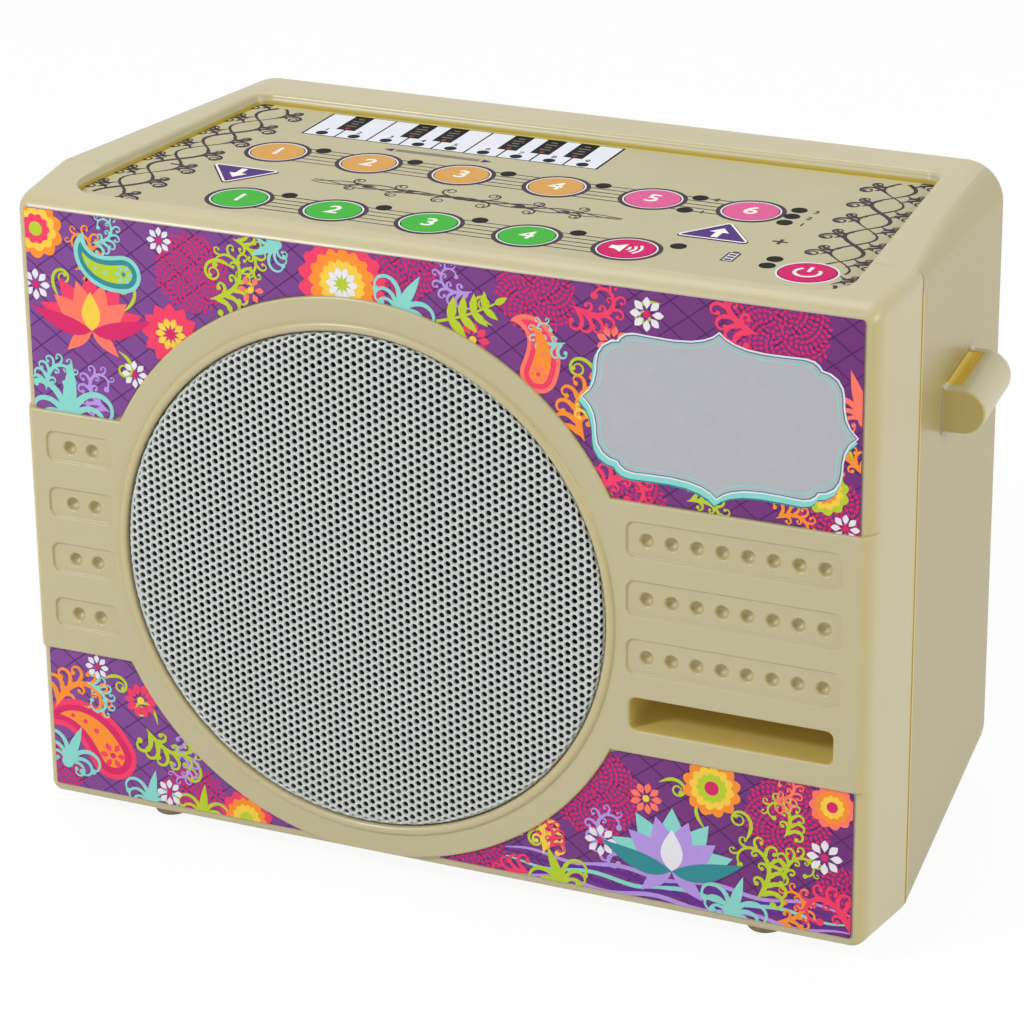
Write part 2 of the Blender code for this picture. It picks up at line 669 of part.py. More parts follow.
def ring_trim():
    """What the front's lower edge cuts off the speaker ring, which would reach past it."""
    outline = [(-10 * MM, front_bottom(0) + FRONT_BOTTOM_EDGE)]
    for turn in (0, 30, 60, 90):
        angle = math.radians(turn)
        depth = FRONT_BOTTOM_EDGE * (1 - math.cos(angle))
        outline.append((depth, front_bottom(depth) + FRONT_BOTTOM_EDGE * (1 - math.sin(angle))))
    low = BOTTOM - RING_RADIUS
    outline += [(FRONT_BOTTOM_EDGE, low), (-10 * MM, low)]
    lowered = [(y, z - 0.05 * MM) for y, z in outline]
    return skin([[(x, y, z) for y, z in lowered] for x in (-HALF_WIDTH, HALF_WIDTH)])


def dimples():
    """Blind round dimples, wider at the mouth, in a row along each vent panel."""
    floor = -RAISED + VENT_DEPTH
    above, bottom = floor - 0.5 * MM, floor + DIMPLE_DEPTH
    profile = [(0, above), (1.15 * DIMPLE_RADIUS, above), (0.55 * DIMPLE_RADIUS, bottom), (0, bottom)]
    made = []
    for x, z, _, _, count in vent_panels():
        made += [lathe(profile, 6, (x + (i - (count - 1) / 2) * DIMPLE_PITCH, z)) for i in range(count)]
    return made


def recess_cutters():
    """The keypad recess with its drafted wall, and the opening inside the ledge that holds the board."""
    above = TOP + 5 * MM
    levels = [(LEDGE_TOP, RECESS_DRAFT), (OVERLAY_TOP, RECESS_DRAFT)]
    for turn in (0, 30, 60, 90):
        angle = math.radians(turn)
        levels.append((TOP - RIM_ROUND * (1 - math.sin(angle)), -RIM_ROUND * (1 - math.cos(angle))))
    levels.append((above, -RIM_ROUND))
    pocket = skin([[(x, y, level) for x, y in recess_outline(inset)] for level, inset in levels])
    return [pocket, prism(recess_outline(RECESS_DRAFT + LEDGE_WIDTH), LEDGE_BOTTOM - 5 * MM, above)]


def foot_holes(places):
    return [upright(FOOT_STEM_RADIUS + GAP, x, y, BOTTOM - 5 * MM, BOTTOM + 12 * MM) for x, y in places]


def front_shell():
    """The shallow front half of the case, with the raised speaker ring, vents, bass port and bosses."""
    loops = [front_edge_loop(math.radians(turn)) for turn in (0, 30, 60, 90)]
    edge = PARTING - SEAM_GAP / 2
    loops += [front_loop(edge - SEAM_CHAMFER), front_loop(edge, SEAM_CHAMFER)]
    shell = add_solid("front_shell", skin(loops), IVORY)
    combine(shell, "UNION", "band", [raised_band()])
    hollow = skin([front_loop(y, WALL, LEDGE_BOTTOM) for y in (WALL, PARTING + 1 * MM)])
    throat = rod((THROAT_RADIUS + RING_RADIUS) / 2, SPEAKER_X, 0, -10 * MM, WALL + 1 * MM, RING_STEPS)
    combine(shell, "DIFFERENCE", "hollow", [hollow, throat])
    bosses = [rod(BOSS_RADIUS, x, z, WALL / 2, BOSS_END, 12) for x, z in post_places()]
    duct = prism(port_outline(PORT_WALL), WALL / 2, PORT_DEPTH, "Y")
    combine(shell, "UNION", "inner_parts", [speaker_ring(), duct] + bosses)
    cuts = [prism(port_outline(0), -10 * MM, PORT_DEPTH + 5 * MM, "Y")]
    cuts.append(ring_trim())
    for x, z in post_places():
        cuts.append(rod(CASE_SCREW_RADIUS + GAP, x, z, BOSS_END - BOSS_HOLE, BOSS_END + 5 * MM, 8))
    for x, z in speaker_screw_places():
        cuts.append(rod(SMALL_SCREW_RADIUS + GAP, x, z, SPEAKER_HOLE_BOTTOM, SEAT_BACK + 5 * MM, 8))
    for x, z, length, height, _ in vent_panels():
        half, rise = length / 2, height / 2
        outline = rounded_rectangle(x - half, x + half, z - rise, z + rise, VENT_CORNER)
        cuts.append(prism(outline, -10 * MM, -RAISED + VENT_DEPTH, "Y"))
    combine(shell, "DIFFERENCE", "cuts", cuts + dimples() + recess_cutters() + foot_holes(foot_places()[:2]))


def seam_tongue():
    """The lip that reaches from the rear half into the front half, open in the middle."""
    reach = PARTING - TONGUE_LENGTH
    root = PARTING + TONGUE_ROOT
    step = PARTING + SEAM_GAP / 2
    outer, inner = WALL + GAP, WALL + GAP + TONGUE_WALL
    sunk = 0.7 * MM
    high, under = LEDGE_BOTTOM + sunk, LEDGE_BOTTOM - GAP
    loops = [front_loop(y, outer, under) for y in (reach, PARTING, step)]
    loops += [front_loop(step + 0.1 * MM, WALL - sunk, high), front_loop(root, WALL - sunk / 2, high)]
    loops += [front_loop(y, inner, under - TONGUE_WALL) for y in (root, reach)]
    return skin(loops, closed_round=True)


def bay_body():
    """The box that the battery bay is cut from."""
    half = DOOR_WIDTH / 2 - DOOR_LEDGE + BAY_WALL
    front, back = BAY_FRONT - BAY_BACK_WALL, BACK - WALL / 2
    return box(-half, half, front, back, BAY_FLOOR - BAY_WALL, BAY_CEILING + BAY_WALL)


def bay_cutters():
    """The battery bay's hollow, the door's seat, pockets for its tongues, a thumb notch and a lead hole."""
    half = DOOR_WIDTH / 2
    out = BACK + 5 * MM
    hollow = box(-half + DOOR_LEDGE, half - DOOR_LEDGE, BAY_FRONT, out, BAY_FLOOR, BAY_CEILING)
    wide, seat_floor = half + DOOR_GAP, BACK - DOOR_THICKNESS - DOOR_GAP
    seat = box(-wide, wide, seat_floor, out, DOOR_BOTTOM - DOOR_GAP, DOOR_TOP + DOOR_GAP)
    reach = TONGUE_WIDTH / 2 + 0.5 * MM
    low, high = DOOR_BOTTOM - TONGUE_REACH - 1.3 * MM, BAY_FLOOR + 1 * MM
    deep = BACK - TONGUE_DEPTH - 2 * MM
    pockets = [box(x - reach, x + reach, deep, seat_floor + 1 * MM, low, high) for x in (-TONGUE_X, TONGUE_X)]
    notch_floor = BACK - THUMB_NOTCH_DEPTH
    notch = [(0, notch_floor), (THUMB_NOTCH_RADIUS - 1 * MM, notch_floor)]
    notch += [(THUMB_NOTCH_RADIUS, out), (0, out)]
    wall = BAY_CEILING - 1 * MM, BAY_CEILING + BAY_WALL + 1 * MM
    lead_hole = upright(LEAD_RADIUS + LEAD_HOLE_ROOM, BATTERY_LEAD_X, PACK_Y, *wall)
    return [hollow, seat, lathe(notch, 20, (0, DOOR_TOP)), lead_hole] + pockets


def rear_shell():
    """The deep rear half: screw posts with wells, board standoffs, the battery bay and the loops' slots."""
    start = PARTING + SEAM_GAP / 2
    loops = [rear_loop(start, SEAM_CHAMFER), rear_loop(start + SEAM_CHAMFER)]
    for turn in (0, 30, 60, 90):
        angle = math.radians(turn)
        y = BACK - BACK_EDGE * (1 - math.sin(angle))
        loops.append(rear_loop(y, BACK_EDGE * (1 - math.cos(angle)), REAR_CORNER + SEAM_CHAMFER))
    shell = add_solid("rear_shell", skin(loops), IVORY)
    corner_y = BACK_INSIDE - BACK_EDGE + WALL
    below_keypad = skin([
        rear_loop(PARTING - 1 * MM, WALL, top=LEDGE_BOTTOM),
        rear_loop(RECESS_BACK + 2 * WALL, WALL, top=LEDGE_BOTTOM),
    ])
    behind_keypad = skin([
        rear_loop(RECESS_BACK + WALL, WALL),
        rear_loop(corner_y, WALL),
        rear_loop(BACK_INSIDE, BACK_EDGE * 0.6),
    ])
    combine(shell, "DIFFERENCE", "hollow", [below_keypad, behind_keypad])
    sunk = BACK - WALL / 2
    posts = [rod(POST_RADIUS, x, z, POST_FRONT, sunk) for x, z in post_places()]
    posts += [rod(STANDOFF_RADIUS, x, z, STANDOFF_END, sunk, 10) for x, z in board_screw_places()]
    combine(shell, "UNION", "inner_parts", [seam_tongue(), bay_body()] + posts)
    cuts = []
    for x, z in post_places():
        cuts.append(rod(WELL_RADIUS, x, z, WELL_BOTTOM, BACK + 5 * MM))
        cuts.append(rod(CASE_SCREW_RADIUS + GAP, x, z, POST_FRONT - 1 * MM, WELL_BOTTOM + 1 * MM, 8))
    for x, z in board_screw_places():
        cuts.append(rod(SMALL_SCREW_RADIUS + GAP, x, z, STANDOFF_END - 1 * MM, BACK_INSIDE - 0.5 * MM, 8))
    for radius, x in ((DC_NOZZLE, DC_JACK_X), (LINE_NOZZLE, LINE_JACK_X)):
        cuts.append(rod(radius + GAP, x, JACK_Z, BACK_INSIDE - 3 * MM, BACK + 5 * MM))
    cuts += [loop_tenon(side, GAP) for side in (-1, 1)]
    cuts += bay_cutters() + recess_cutters() + foot_holes(foot_places()[2:])
    combine(shell, "DIFFERENCE", "cuts", cuts)


def loop_frame(side):
    """Places a strap loop on the tapered side wall: its length along the wall, its reach away from it."""
    middle = PARTING + LOOP_FRONT + LOOP_LENGTH / 2
    place = Vector((side * rear_half(middle), middle, TOP - LOOP_BELOW_TOP))
    return Matrix.Translation(place) @ Matrix.Rotation(side * (math.radians(90) + SIDE_TAPER), 4, "Z")


def on_side(shape, side):
    bmesh.ops.transform(shape, matrix=loop_frame(side), verts=shape.verts)
    return shape


def loop_tenon(side, grow):
    """The tongue of a strap loop that sits in the side wall; grow makes the slot for it."""
    half = LOOP_LENGTH / 2 - LOOP_END + grow
    rise = LOOP_TENON / 2 + grow
    inside = WALL + 1.5 * MM + grow
    return on_side(box(-half, half, -0.5 * MM - grow, inside, -rise, rise), side)


def strap_loop(side, name):
    """A D-section bar along the side, with a slot for webbing next to the wall."""
    half, rise = LOOP_LENGTH / 2, LOOP_HEIGHT / 2
    outline = [(-GAP, -rise)] + arc((-(LOOP_REACH - rise), 0), rise, -90, -270, 8) + [(-GAP, rise)]
    bar = skin([[(x, y, z) for y, z in outline] for x in (-half, half)])
    loop = add_solid(name, on_side(bar, side), IVORY)
    combine(loop, "UNION", "tenon", [loop_tenon(side, 0.0)])
    ends = half - LOOP_END
    slot = box(-ends, ends, -GAP - LOOP_BASE - LOOP_SLOT, -GAP - LOOP_BASE, -LOOP_HEIGHT, LOOP_HEIGHT)
    combine(loop, "DIFFERENCE", "slot", [on_side(slot, side)])


def speaker_grille():
    """Perforated sheet with a rolled rim that stands in the throat on the speaker's seat."""
    flat = GRILLE_RADIUS - GRILLE_ROLL
    foot = SEAT_FRONT - GAP
    front_roll = arc((flat, GRILLE_FRONT + GRILLE_ROLL), GRILLE_ROLL, -90, 0, 3)
    back_roll = arc((flat, GRILLE_FRONT + GRILLE_ROLL), GRILLE_ROLL - GRILLE_SHEET, 0, -90, 3)
    inner = GRILLE_RADIUS - GRILLE_SHEET
    profile = [(0, GRILLE_FRONT)] + front_roll + [(GRILLE_RADIUS, foot), (inner, foot)] + back_roll
    profile.append((0, GRILLE_FRONT + GRILLE_SHEET))
    grille = add_solid("speaker_grille", lathe(profile, RING_STEPS, (SPEAKER_X, 0)), GRILLE_GREY)
    holes = []
    rows = int(GRILLE_FIELD / GRILLE_PITCH) + 1
    for row in range(-rows, rows + 1):
        for place in range(-2 * rows, 2 * rows + 1):
            x = (place + row / 2) * GRILLE_PITCH
            z = row * GRILLE_PITCH * math.sqrt(0.75)
            if math.hypot(x, z) + GRILLE_HOLE / 2 < GRILLE_FIELD:
                holes.append(rod(GRILLE_HOLE / 2, SPEAKER_X + x, z, GRILLE_FRONT - 1 * MM, 0, 6))
    combine(grille, "DIFFERENCE", "holes", holes)


def speaker_gasket():
    """Rubber ring on the front of the seat, inside the grille."""
    back = SEAT_FRONT - GAP
    front = back - GASKET_THICKNESS
    outer = GRILLE_RADIUS - GRILLE_SHEET - GAP
    profile = [(outer, front), (outer, back), (SEAT_INNER, back), (SEAT_INNER, front)]
    add_solid("speaker_gasket", lathe(profile, SPEAKER_STEPS, (SPEAKER_X, 0)), RUBBER_BLACK)


def speaker_frame():
    """Pressed-steel basket: screw flange, ledge for the surround, windowed cone wall and back plate."""
    back = BASKET_BACK - BASKET_SHEET
    profile = [
        (SPEAKER_RADIUS, FLANGE_FRONT),
        (SPEAKER_RADIUS, FLANGE_BACK),
        (SURROUND_RADIUS + BASKET_SHEET, FLANGE_BACK),
        (BASKET_BACK_RADIUS + BASKET_SHEET, back),
        (BASKET_BACK_RADIUS + BASKET_SHEET, BASKET_BACK),
        (BASKET_HOLE, BASKET_BACK),
        (BASKET_HOLE, back),
        (BASKET_BACK_RADIUS, back),
        (SURROUND_RADIUS - SURROUND_LEDGE_WIDTH, FLANGE_FRONT + SURROUND_LEDGE + BASKET_SHEET),
        (SURROUND_RADIUS - SURROUND_LEDGE_WIDTH, FLANGE_FRONT + SURROUND_LEDGE),
        (SURROUND_RADIUS, FLANGE_FRONT + SURROUND_LEDGE),
        (SURROUND_RADIUS, FLANGE_FRONT),
    ]
    frame = add_solid("speaker_frame", lathe(profile, SPEAKER_STEPS, (SPEAKER_X, 0)), SPEAKER_BLACK)
    combine(frame, "UNION", "terminal", [terminal_block()])
    cuts = [rod(SMALL_SCREW_RADIUS + GAP, x, z, 0, BASKET_BACK, 8) for x, z in speaker_screw_places()]
    near, far = BASKET_BACK_RADIUS + 6 * MM, SURROUND_RADIUS - 10 * MM
    for i in range(BASKET_WINDOWS):
        middle = 360 * i / BASKET_WINDOWS
        spread = 360 / BASKET_WINDOWS / 3
        outer = arc((SPEAKER_X, 0), far, middle - spread, middle + spread, 4)
        inner = arc((SPEAKER_X, 0), near, middle + spread, middle - spread, 4)
        cuts.append(prism(outer + inner, FLANGE_BACK + 1 * MM, back + 0.5 * MM, "Y"))
    combine(frame, "DIFFERENCE", "cuts", cuts)


def basket_radius(y):
    """Outer radius of the basket's cone wall."""
    share = (y - FLANGE_BACK) / (BASKET_DEPTH - FLANGE_THICKNESS - BASKET_SHEET)
    return SURROUND_RADIUS + BASKET_SHEET + (BASKET_BACK_RADIUS - SURROUND_RADIUS) * share


def terminal_block():
    """The solder terminal on the basket's top spoke."""
    y = FLANGE_FRONT + BASKET_DEPTH / 2
    root = basket_radius(y) - BASKET_SHEET
    half = TERMINAL_WIDTH / 2
    return box(SPEAKER_X - half, SPEAKER_X + half, y - 2 * MM, y + 2 * MM, root, root + 9 * MM)


def speaker_cone():
    """Paper cone in one piece with its rolled surround, dust cap and voice coil former."""
    edge = SURROUND_FRONT
    roll = SURROUND_RADIUS - SURROUND_LEDGE_WIDTH - SURROUND_ROLL
    root = edge + CONE_DEPTH
    front = [(0, root - 8 * MM), (COIL_RADIUS * 0.6, root - 6 * MM), (COIL_RADIUS + 1 * MM, root)]
    front += arc((roll, edge), SURROUND_ROLL, 180, 360, 4) + [(SURROUND_RADIUS - GAP, edge)]
    back = [(radius, y + CONE_THICKNESS) for radius, y in reversed(front)]
    coil_end = MAGNET_FRONT + MAGNET_DEPTH * 0.3
    former = [(COIL_RADIUS + 0.5 * MM, back[-3][1]), (COIL_RADIUS + 0.5 * MM, coil_end)]
    former += [(COIL_RADIUS - 0.5 * MM, coil_end), (COIL_RADIUS - 0.5 * MM, back[-3][1] - 0.3 * MM)]
    profile = front + back[:-3] + former + back[-2:]
    add_solid("speaker_cone", lathe(profile, SPEAKER_STEPS, (SPEAKER_X, 0)), PAPER_BLACK)


def speaker_magnet():
    """Ferrite ring and pole, with the groove that the voice coil moves in."""
    inner, outer = COIL_RADIUS - MAGNET_GAP, COIL_RADIUS + MAGNET_GAP
    groove = MAGNET_FRONT + MAGNET_DEPTH * 0.6
    back = MAGNET_FRONT + MAGNET_DEPTH
    bevel = 1.5 * MM
    profile = [(0, MAGNET_FRONT), (inner, MAGNET_FRONT), (inner, groove), (outer, groove)]
    profile += [(outer, MAGNET_FRONT), (MAGNET_RADIUS, MAGNET_FRONT), (MAGNET_RADIUS, back - bevel)]
    profile += [(MAGNET_RADIUS - bevel, back), (0, back)]
    add_solid("speaker_magnet", lathe(profile, SPEAKER_STEPS, (SPEAKER_X, 0)), FERRITE)


def screw(name, place, seat, tip, shank, head, head_height):
    """A pan-head screw along Y: its head sits on the plane seat, and its shank ends at tip."""
    crown = seat - math.copysign(head_height, tip - seat)
    profile = [(0, crown), (head, crown), (head, seat), (shank, seat), (shank, tip), (0, tip)]
    add_solid(name, lathe(profile, 8, place), STEEL)


def screws():
    """The speaker's, the case's and the main board's screws."""
    small = SMALL_SCREW_RADIUS, SMALL_SCREW_HEAD, SMALL_SCREW_HEAD_HEIGHT
    large = CASE_SCREW_RADIUS, CASE_SCREW_HEAD, CASE_SCREW_HEAD_HEIGHT
    for i, place in enumerate(speaker_screw_places(), 1):
        screw(f"speaker_screw_{i}", place, FLANGE_BACK + GAP, SPEAKER_HOLE_BOTTOM + SCREW_TIP_ROOM, *small)
    for i, place in enumerate(post_places(), 1):
        screw(f"case_screw_{i}", place, WELL_BOTTOM + GAP, BOSS_END - BOSS_HOLE + SCREW_TIP_ROOM, *large)
    for i, place in enumerate(board_screw_places(), 1):
        tip = BACK_INSIDE - 0.5 * MM - SCREW_TIP_ROOM
        screw(f"board_screw_{i}", place, MAIN_BOARD_FRONT - GAP, tip, *small)


def label_fillet():
    """Distance from the speaker's middle to the centre of a label corner's rounding, and its direction."""
    rise = BAND_HALF + GAP + LABEL_CORNER
    reach = math.sqrt((RING_RADIUS + GAP + LABEL_CORNER) ** 2 - rise ** 2)
    return reach, rise, math.degrees(math.atan2(rise, reach))


def upper_label_outline():
    """Anticlockwise: the outer corners, then the lower edge with the ring's bite out of it."""
    half = front_half(0) - LABEL_SIDE_MARGIN
    low, high = BAND_HALF + GAP, front_top(0) - LABEL_TOP_MARGIN
    reach, rise, turn = label_fillet()
    corner = LABEL_OUTER_CORNER
    outer = arc((half - corner, low + corner), corner, -90, 0, 3)
    outer += arc((half - corner, high - corner), corner, 0, 90, 3)
    outer += [(-x, z) for x, z in reversed(outer)]
    ring = arc((SPEAKER_X, 0), RING_RADIUS + GAP, 180 - turn, turn, 24)
    return (
        outer
        + arc((SPEAKER_X - reach, rise), LABEL_CORNER, -90, -turn, 4)
        + ring[1:-1]
        + arc((SPEAKER_X + reach, rise), LABEL_CORNER, 180 + turn, 270, 4)
    )


def lower_label_outline(side):
    """One side of the lower front: the ring's curve runs down to a narrow blunt tip."""
    middle = side * SPEAKER_X
    half = front_half(0) - LABEL_SIDE_MARGIN
    low, high = front_bottom(0) + LABEL_BOTTOM_MARGIN, -BAND_HALF - GAP
    radius = RING_RADIUS + GAP
    tip = math.sqrt(max(radius ** 2 - low ** 2, 0)) + LABEL_BLUNT
    reach, rise, turn = label_fillet()
    corner = LABEL_OUTER_CORNER
    points = (
        [(middle + tip, low)]
        + arc((half - corner, low + corner), corner, -90, 0, 3)
        + arc((half - corner, high - corner), corner, 0, 90, 3)
        + arc((middle + reach, -rise), LABEL_CORNER, 90, 180 - turn, 4)
        + arc((middle, 0), radius, -turn, -math.degrees(math.acos(tip / radius)), 8)[1:]
    )
    return [(side * x, z) for x, z in points]


def labels():
    """Three printed sheets stuck on the sunken front face, above and below the band."""
    outlines = {
        "label_upper": upper_label_outline(),
        "label_lower_left": lower_label_outline(-1),
        "label_lower_right": lower_label_outline(1),
    }
    for name, outline in outlines.items():
        add_solid(name, prism(outline, -GAP - LABEL_THICKNESS, -GAP, "Y"), LABEL_PURPLE)


def key_holes(grow, low, high):
    """Cutters for all the keys through a sheet of the keypad."""
    cuts = [upright(KEY_RADIUS + grow, x, y, low, high, SMALL_STEPS) for _, x, y, _ in round_keys()]
    return cuts + [prism(arrow_outline(way, grow, x, y), low, high) for _, x, y, way in arrow_keys()]


def keypad_overlay():
    """The printed top sheet, with a hole for each key."""
    low = OVERLAY_TOP - OVERLAY_THICKNESS
    sheet = prism(recess_outline(RECESS_DRAFT + GAP), low, OVERLAY_TOP)
    overlay = add_solid("keypad_overlay", sheet, OVERLAY_CREAM)
    combine(overlay, "DIFFERENCE", "key_holes", key_holes(GAP, low - 1 * MM, TOP))


def keypad_spacer():
    """The sheet under the overlay, which guides the keys' flanges and lets the lamps through."""
    low = SPACER_TOP - SPACER_THICKNESS
    sheet = prism(recess_outline(RECESS_DRAFT + GAP), low, SPACER_TOP)
    spacer = add_solid("keypad_spacer", sheet, CLEAR_GREY)
    cuts = key_holes(KEY_FLANGE + GAP, low - 1 * MM, TOP)
    half = LED_WINDOW / 2
    cuts += [box(x - half, x + half, y - half, y + half, low - 1 * MM, TOP) for x, y in led_places()]
    naturals, sharps = scale_led_places()[:9], scale_led_places()[9:]
    for row in (naturals, sharps):
        y = row[0][1]
        cuts.append(box(row[0][0] - half, row[-1][0] + half, y - half, y + half, low - 1 * MM, TOP))
    combine(spacer, "DIFFERENCE", "windows", cuts)


def keypad_board():
    """The circuit board under the keys, with its snap domes, lamps and ribbon connector."""
    outline = recess_outline(RECESS_DRAFT + GAP)
    board = add_solid("keypad_board", prism(outline, BOARD_BOTTOM, BOARD_TOP), GREEN_BOARD)
    sunk = BOARD_TOP - BOARD_THICKNESS / 2
    peak = BOARD_TOP + DOME_HEIGHT
    profile = [(0, sunk), (DOME_RADIUS, sunk), (DOME_RADIUS, BOARD_TOP)]
    profile += [(DOME_RADIUS * 0.65, peak), (0, peak)]
    places = [(x, y) for _, x, y, _ in round_keys()] + [(x, y) for _, x, y, _ in arrow_keys()]
    parts = [lathe(profile, 8, place, "Z") for place in places]
    half = LED_SIZE / 2
    for x, y in led_places() + scale_led_places():
        parts.append(box(x - half, x + half, y - half, y + half, sunk, BOARD_TOP + LED_HEIGHT))
    width, y = RIBBON_WIDTH / 2 + 2 * MM, RECESS_BACK - RIBBON_CONNECTOR_Y
    deep = CONNECTOR_HEIGHT / 2
    parts.append(box(-width, width, y - deep, y + deep, BOARD_BOTTOM - CONNECTOR_DEPTH, sunk))
    combine(board, "UNION", "parts", parts)


def keys():
    """Thirteen keys: a cap through the overlay and a flange under it, each on its own vertical slide."""
    top = OVERLAY_TOP + KEY_PROUD
    flange_low = SPACER_TOP - KEY_FLANGE_THICKNESS
    bevel = KEY_PROUD * 0.75
    low, middle, high = 0.0, SPACER_TOP - flange_low, top - flange_low
    levels = [(low, KEY_FLANGE), (middle, KEY_FLANGE), (middle, 0.0), (high - bevel, 0.0), (high, -bevel)]
    for name, x, y, finish in round_keys():
        profile = [(0, low)] + [(KEY_RADIUS + grow, level) for level, grow in levels] + [(0, high)]
        add_solid(name, lathe(profile, SMALL_STEPS, axis="Z"), finish, (x, y, flange_low))
    for name, x, y, way in arrow_keys():
        rings = [[(a, b, level) for a, b in arrow_outline(way, grow)] for level, grow in levels]
        add_solid(name, skin(rings), PURPLE, (x, y, flange_low))


def connector(x, z, half_width):
    """A wire connector on the front of the main board."""
    rise = CONNECTOR_HEIGHT / 2
    sunk = MAIN_BOARD_FRONT + BOARD_THICKNESS / 2
    return box(x - half_width, x + half_width, MAIN_BOARD_FRONT - CONNECTOR_DEPTH, sunk, z - rise, z + rise)


def ribbon_connector_z():
    return MAIN_BOARD_TOP - CONNECTOR_HEIGHT - 2 * MM


def speaker_connector_z():
    return MAIN_BOARD_BOTTOM + (MAIN_BOARD_TOP - MAIN_BOARD_BOTTOM) * 0.43


def main_board():
    """Upright circuit board on the back wall's standoffs, with its chips, capacitors and connectors."""
    half = MAIN_BOARD_WIDTH / 2
    plate = box(-half, half, MAIN_BOARD_FRONT, MAIN_BOARD_BACK, MAIN_BOARD_BOTTOM, MAIN_BOARD_TOP)
    board = add_solid("main_board", plate, GREEN_BOARD)
    sunk = MAIN_BOARD_FRONT + BOARD_THICKNESS / 2
    middle = (MAIN_BOARD_BOTTOM + MAIN_BOARD_TOP) / 2
    chip = MAIN_BOARD_FRONT - 3 * MM
    parts = [
        connector(0, ribbon_connector_z(), RIBBON_WIDTH / 2 + 2 * MM),
        connector(0, speaker_connector_z(), TERMINAL_WIDTH / 2),
        connector(BATTERY_LEAD_X, BATTERY_CONNECTOR_BOTTOM + CONNECTOR_HEIGHT / 2, TERMINAL_WIDTH / 2),
        box(-half * 0.75, -half * 0.4, chip, sunk, middle, middle + 12 * MM),
        box(half * 0.3, half * 0.5, chip, sunk, middle - 4 * MM, middle + 12 * MM),
    ]
    for x in (half * 0.65, half * 0.82):
        parts.append(rod(CAPACITOR_RADIUS, x, middle, MAIN_BOARD_FRONT - CAPACITOR_HEIGHT, sunk, 12))
    combine(board, "UNION", "parts", parts)
    radius = SMALL_SCREW_RADIUS + GAP
    holes = [rod(radius, x, z, STANDOFF_END - 5 * MM, BACK, 8) for x, z in board_screw_places()]
    combine(board, "DIFFERENCE", "screw_holes", holes)


def jack(name, x, nozzle, bore, pin):
    """A socket between the main board and the back wall, with its nozzle through the wall."""
    wall = BACK_INSIDE - GAP
    rise = nozzle + 1 * MM
    body = box(x - rise, x + rise, MAIN_BOARD_BACK + GAP, wall, JACK_Z - rise, JACK_Z + rise)
    socket = add_solid(name, body, JACK_BLACK)
    combine(socket, "UNION", "nozzle", [rod(nozzle, x, JACK_Z, wall - 1 * MM, BACK)])
    bottom, out = BACK - JACK_BORE_DEPTH, BACK + 5 * MM
    profile = [(0, out), (bore, out), (bore, bottom)]
    profile += [(pin, bottom), (pin, BACK - 1 * MM), (0, BACK - 1 * MM)] if pin else [(0, bottom)]
    combine(socket, "DIFFERENCE", "bore", [lathe(profile, 12, (x, JACK_Z))])


def keypad_ribbon():
    """Flat cable from under the keypad board to the main board, in a loose S."""
    start = Vector((0, RECESS_BACK - RIBBON_CONNECTOR_Y, BOARD_BOTTOM - CONNECTOR_DEPTH - GAP))
    top = ribbon_connector_z() + CONNECTOR_HEIGHT / 2 + GAP
    end = Vector((0, MAIN_BOARD_FRONT - CONNECTOR_DEPTH / 2, top))
    lean = Vector((0, 0, start.z - end.z))
    path = bezier(start, start - lean * 0.75, end + lean * 0.95, end, 14)
    half = RIBBON_WIDTH / 2
    rings = []
    for i, point in enumerate(path):
        along = (path[min(i + 1, len(path) - 1)] - path[max(i - 1, 0)]).normalized()
        if i in (0, len(path) - 1):
            along = Vector((0, 0, -1))
        out = Vector((0, -along.z, along.y)) * RIBBON_THICKNESS / 2
        corners = [(-half, -1), (half, -1), (half, 1), (-half, 1)]
        rings.append([point + Vector((x, 0, 0)) + out * way for x, way in corners])
    add_solid("keypad_ribbon", skin(rings), LEAD_GREY)


def lead(name, path, finish):
    """A round two-core lead along a path."""
    curve = bpy.data.curves.new(name, "CURVE")
    curve.dimensions = "3D"
    curve.bevel_depth = LEAD_RADIUS
    curve.bevel_resolution = 2
    curve.use_fill_caps = True
    spline = curve.splines.new("POLY")
    spline.points.add(len(path) - 1)
    for point, place in zip(spline.points, path):
        point.co = (*place, 1.0)
    add_object(name, curve, finish)


def speaker_lead():
    """From the speaker's terminal back to the main board."""
    y = FLANGE_FRONT + BASKET_DEPTH / 2
    height = basket_radius(y) - BASKET_SHEET + 6 * MM
    start = Vector((SPEAKER_X, y + 2 * MM + GAP, height))
    end = Vector((0, MAIN_BOARD_FRONT - CONNECTOR_DEPTH - GAP, speaker_connector_z()))
    ahead = Vector((0, (end.y - start.y) * 0.4, 0))
    lead("speaker_lead", bezier(start, start + ahead, end - ahead, end, 16), LEAD_GREY)


def battery_lead():
    """From the battery pack up through the bay's ceiling to the main board."""
    start = Vector((BATTERY_LEAD_X, PACK_Y, PACK_TOP + GAP))
    end = Vector((BATTERY_LEAD_X, MAIN_BOARD_FRONT - CONNECTOR_DEPTH / 2, BATTERY_CONNECTOR_BOTTOM - GAP))
    lean = Vector((0, 0, (end.z - start.z) * 0.4))
    lead("battery_lead", bezier(start, start + lean, end - lean, end, 10), LEAD_GREY)


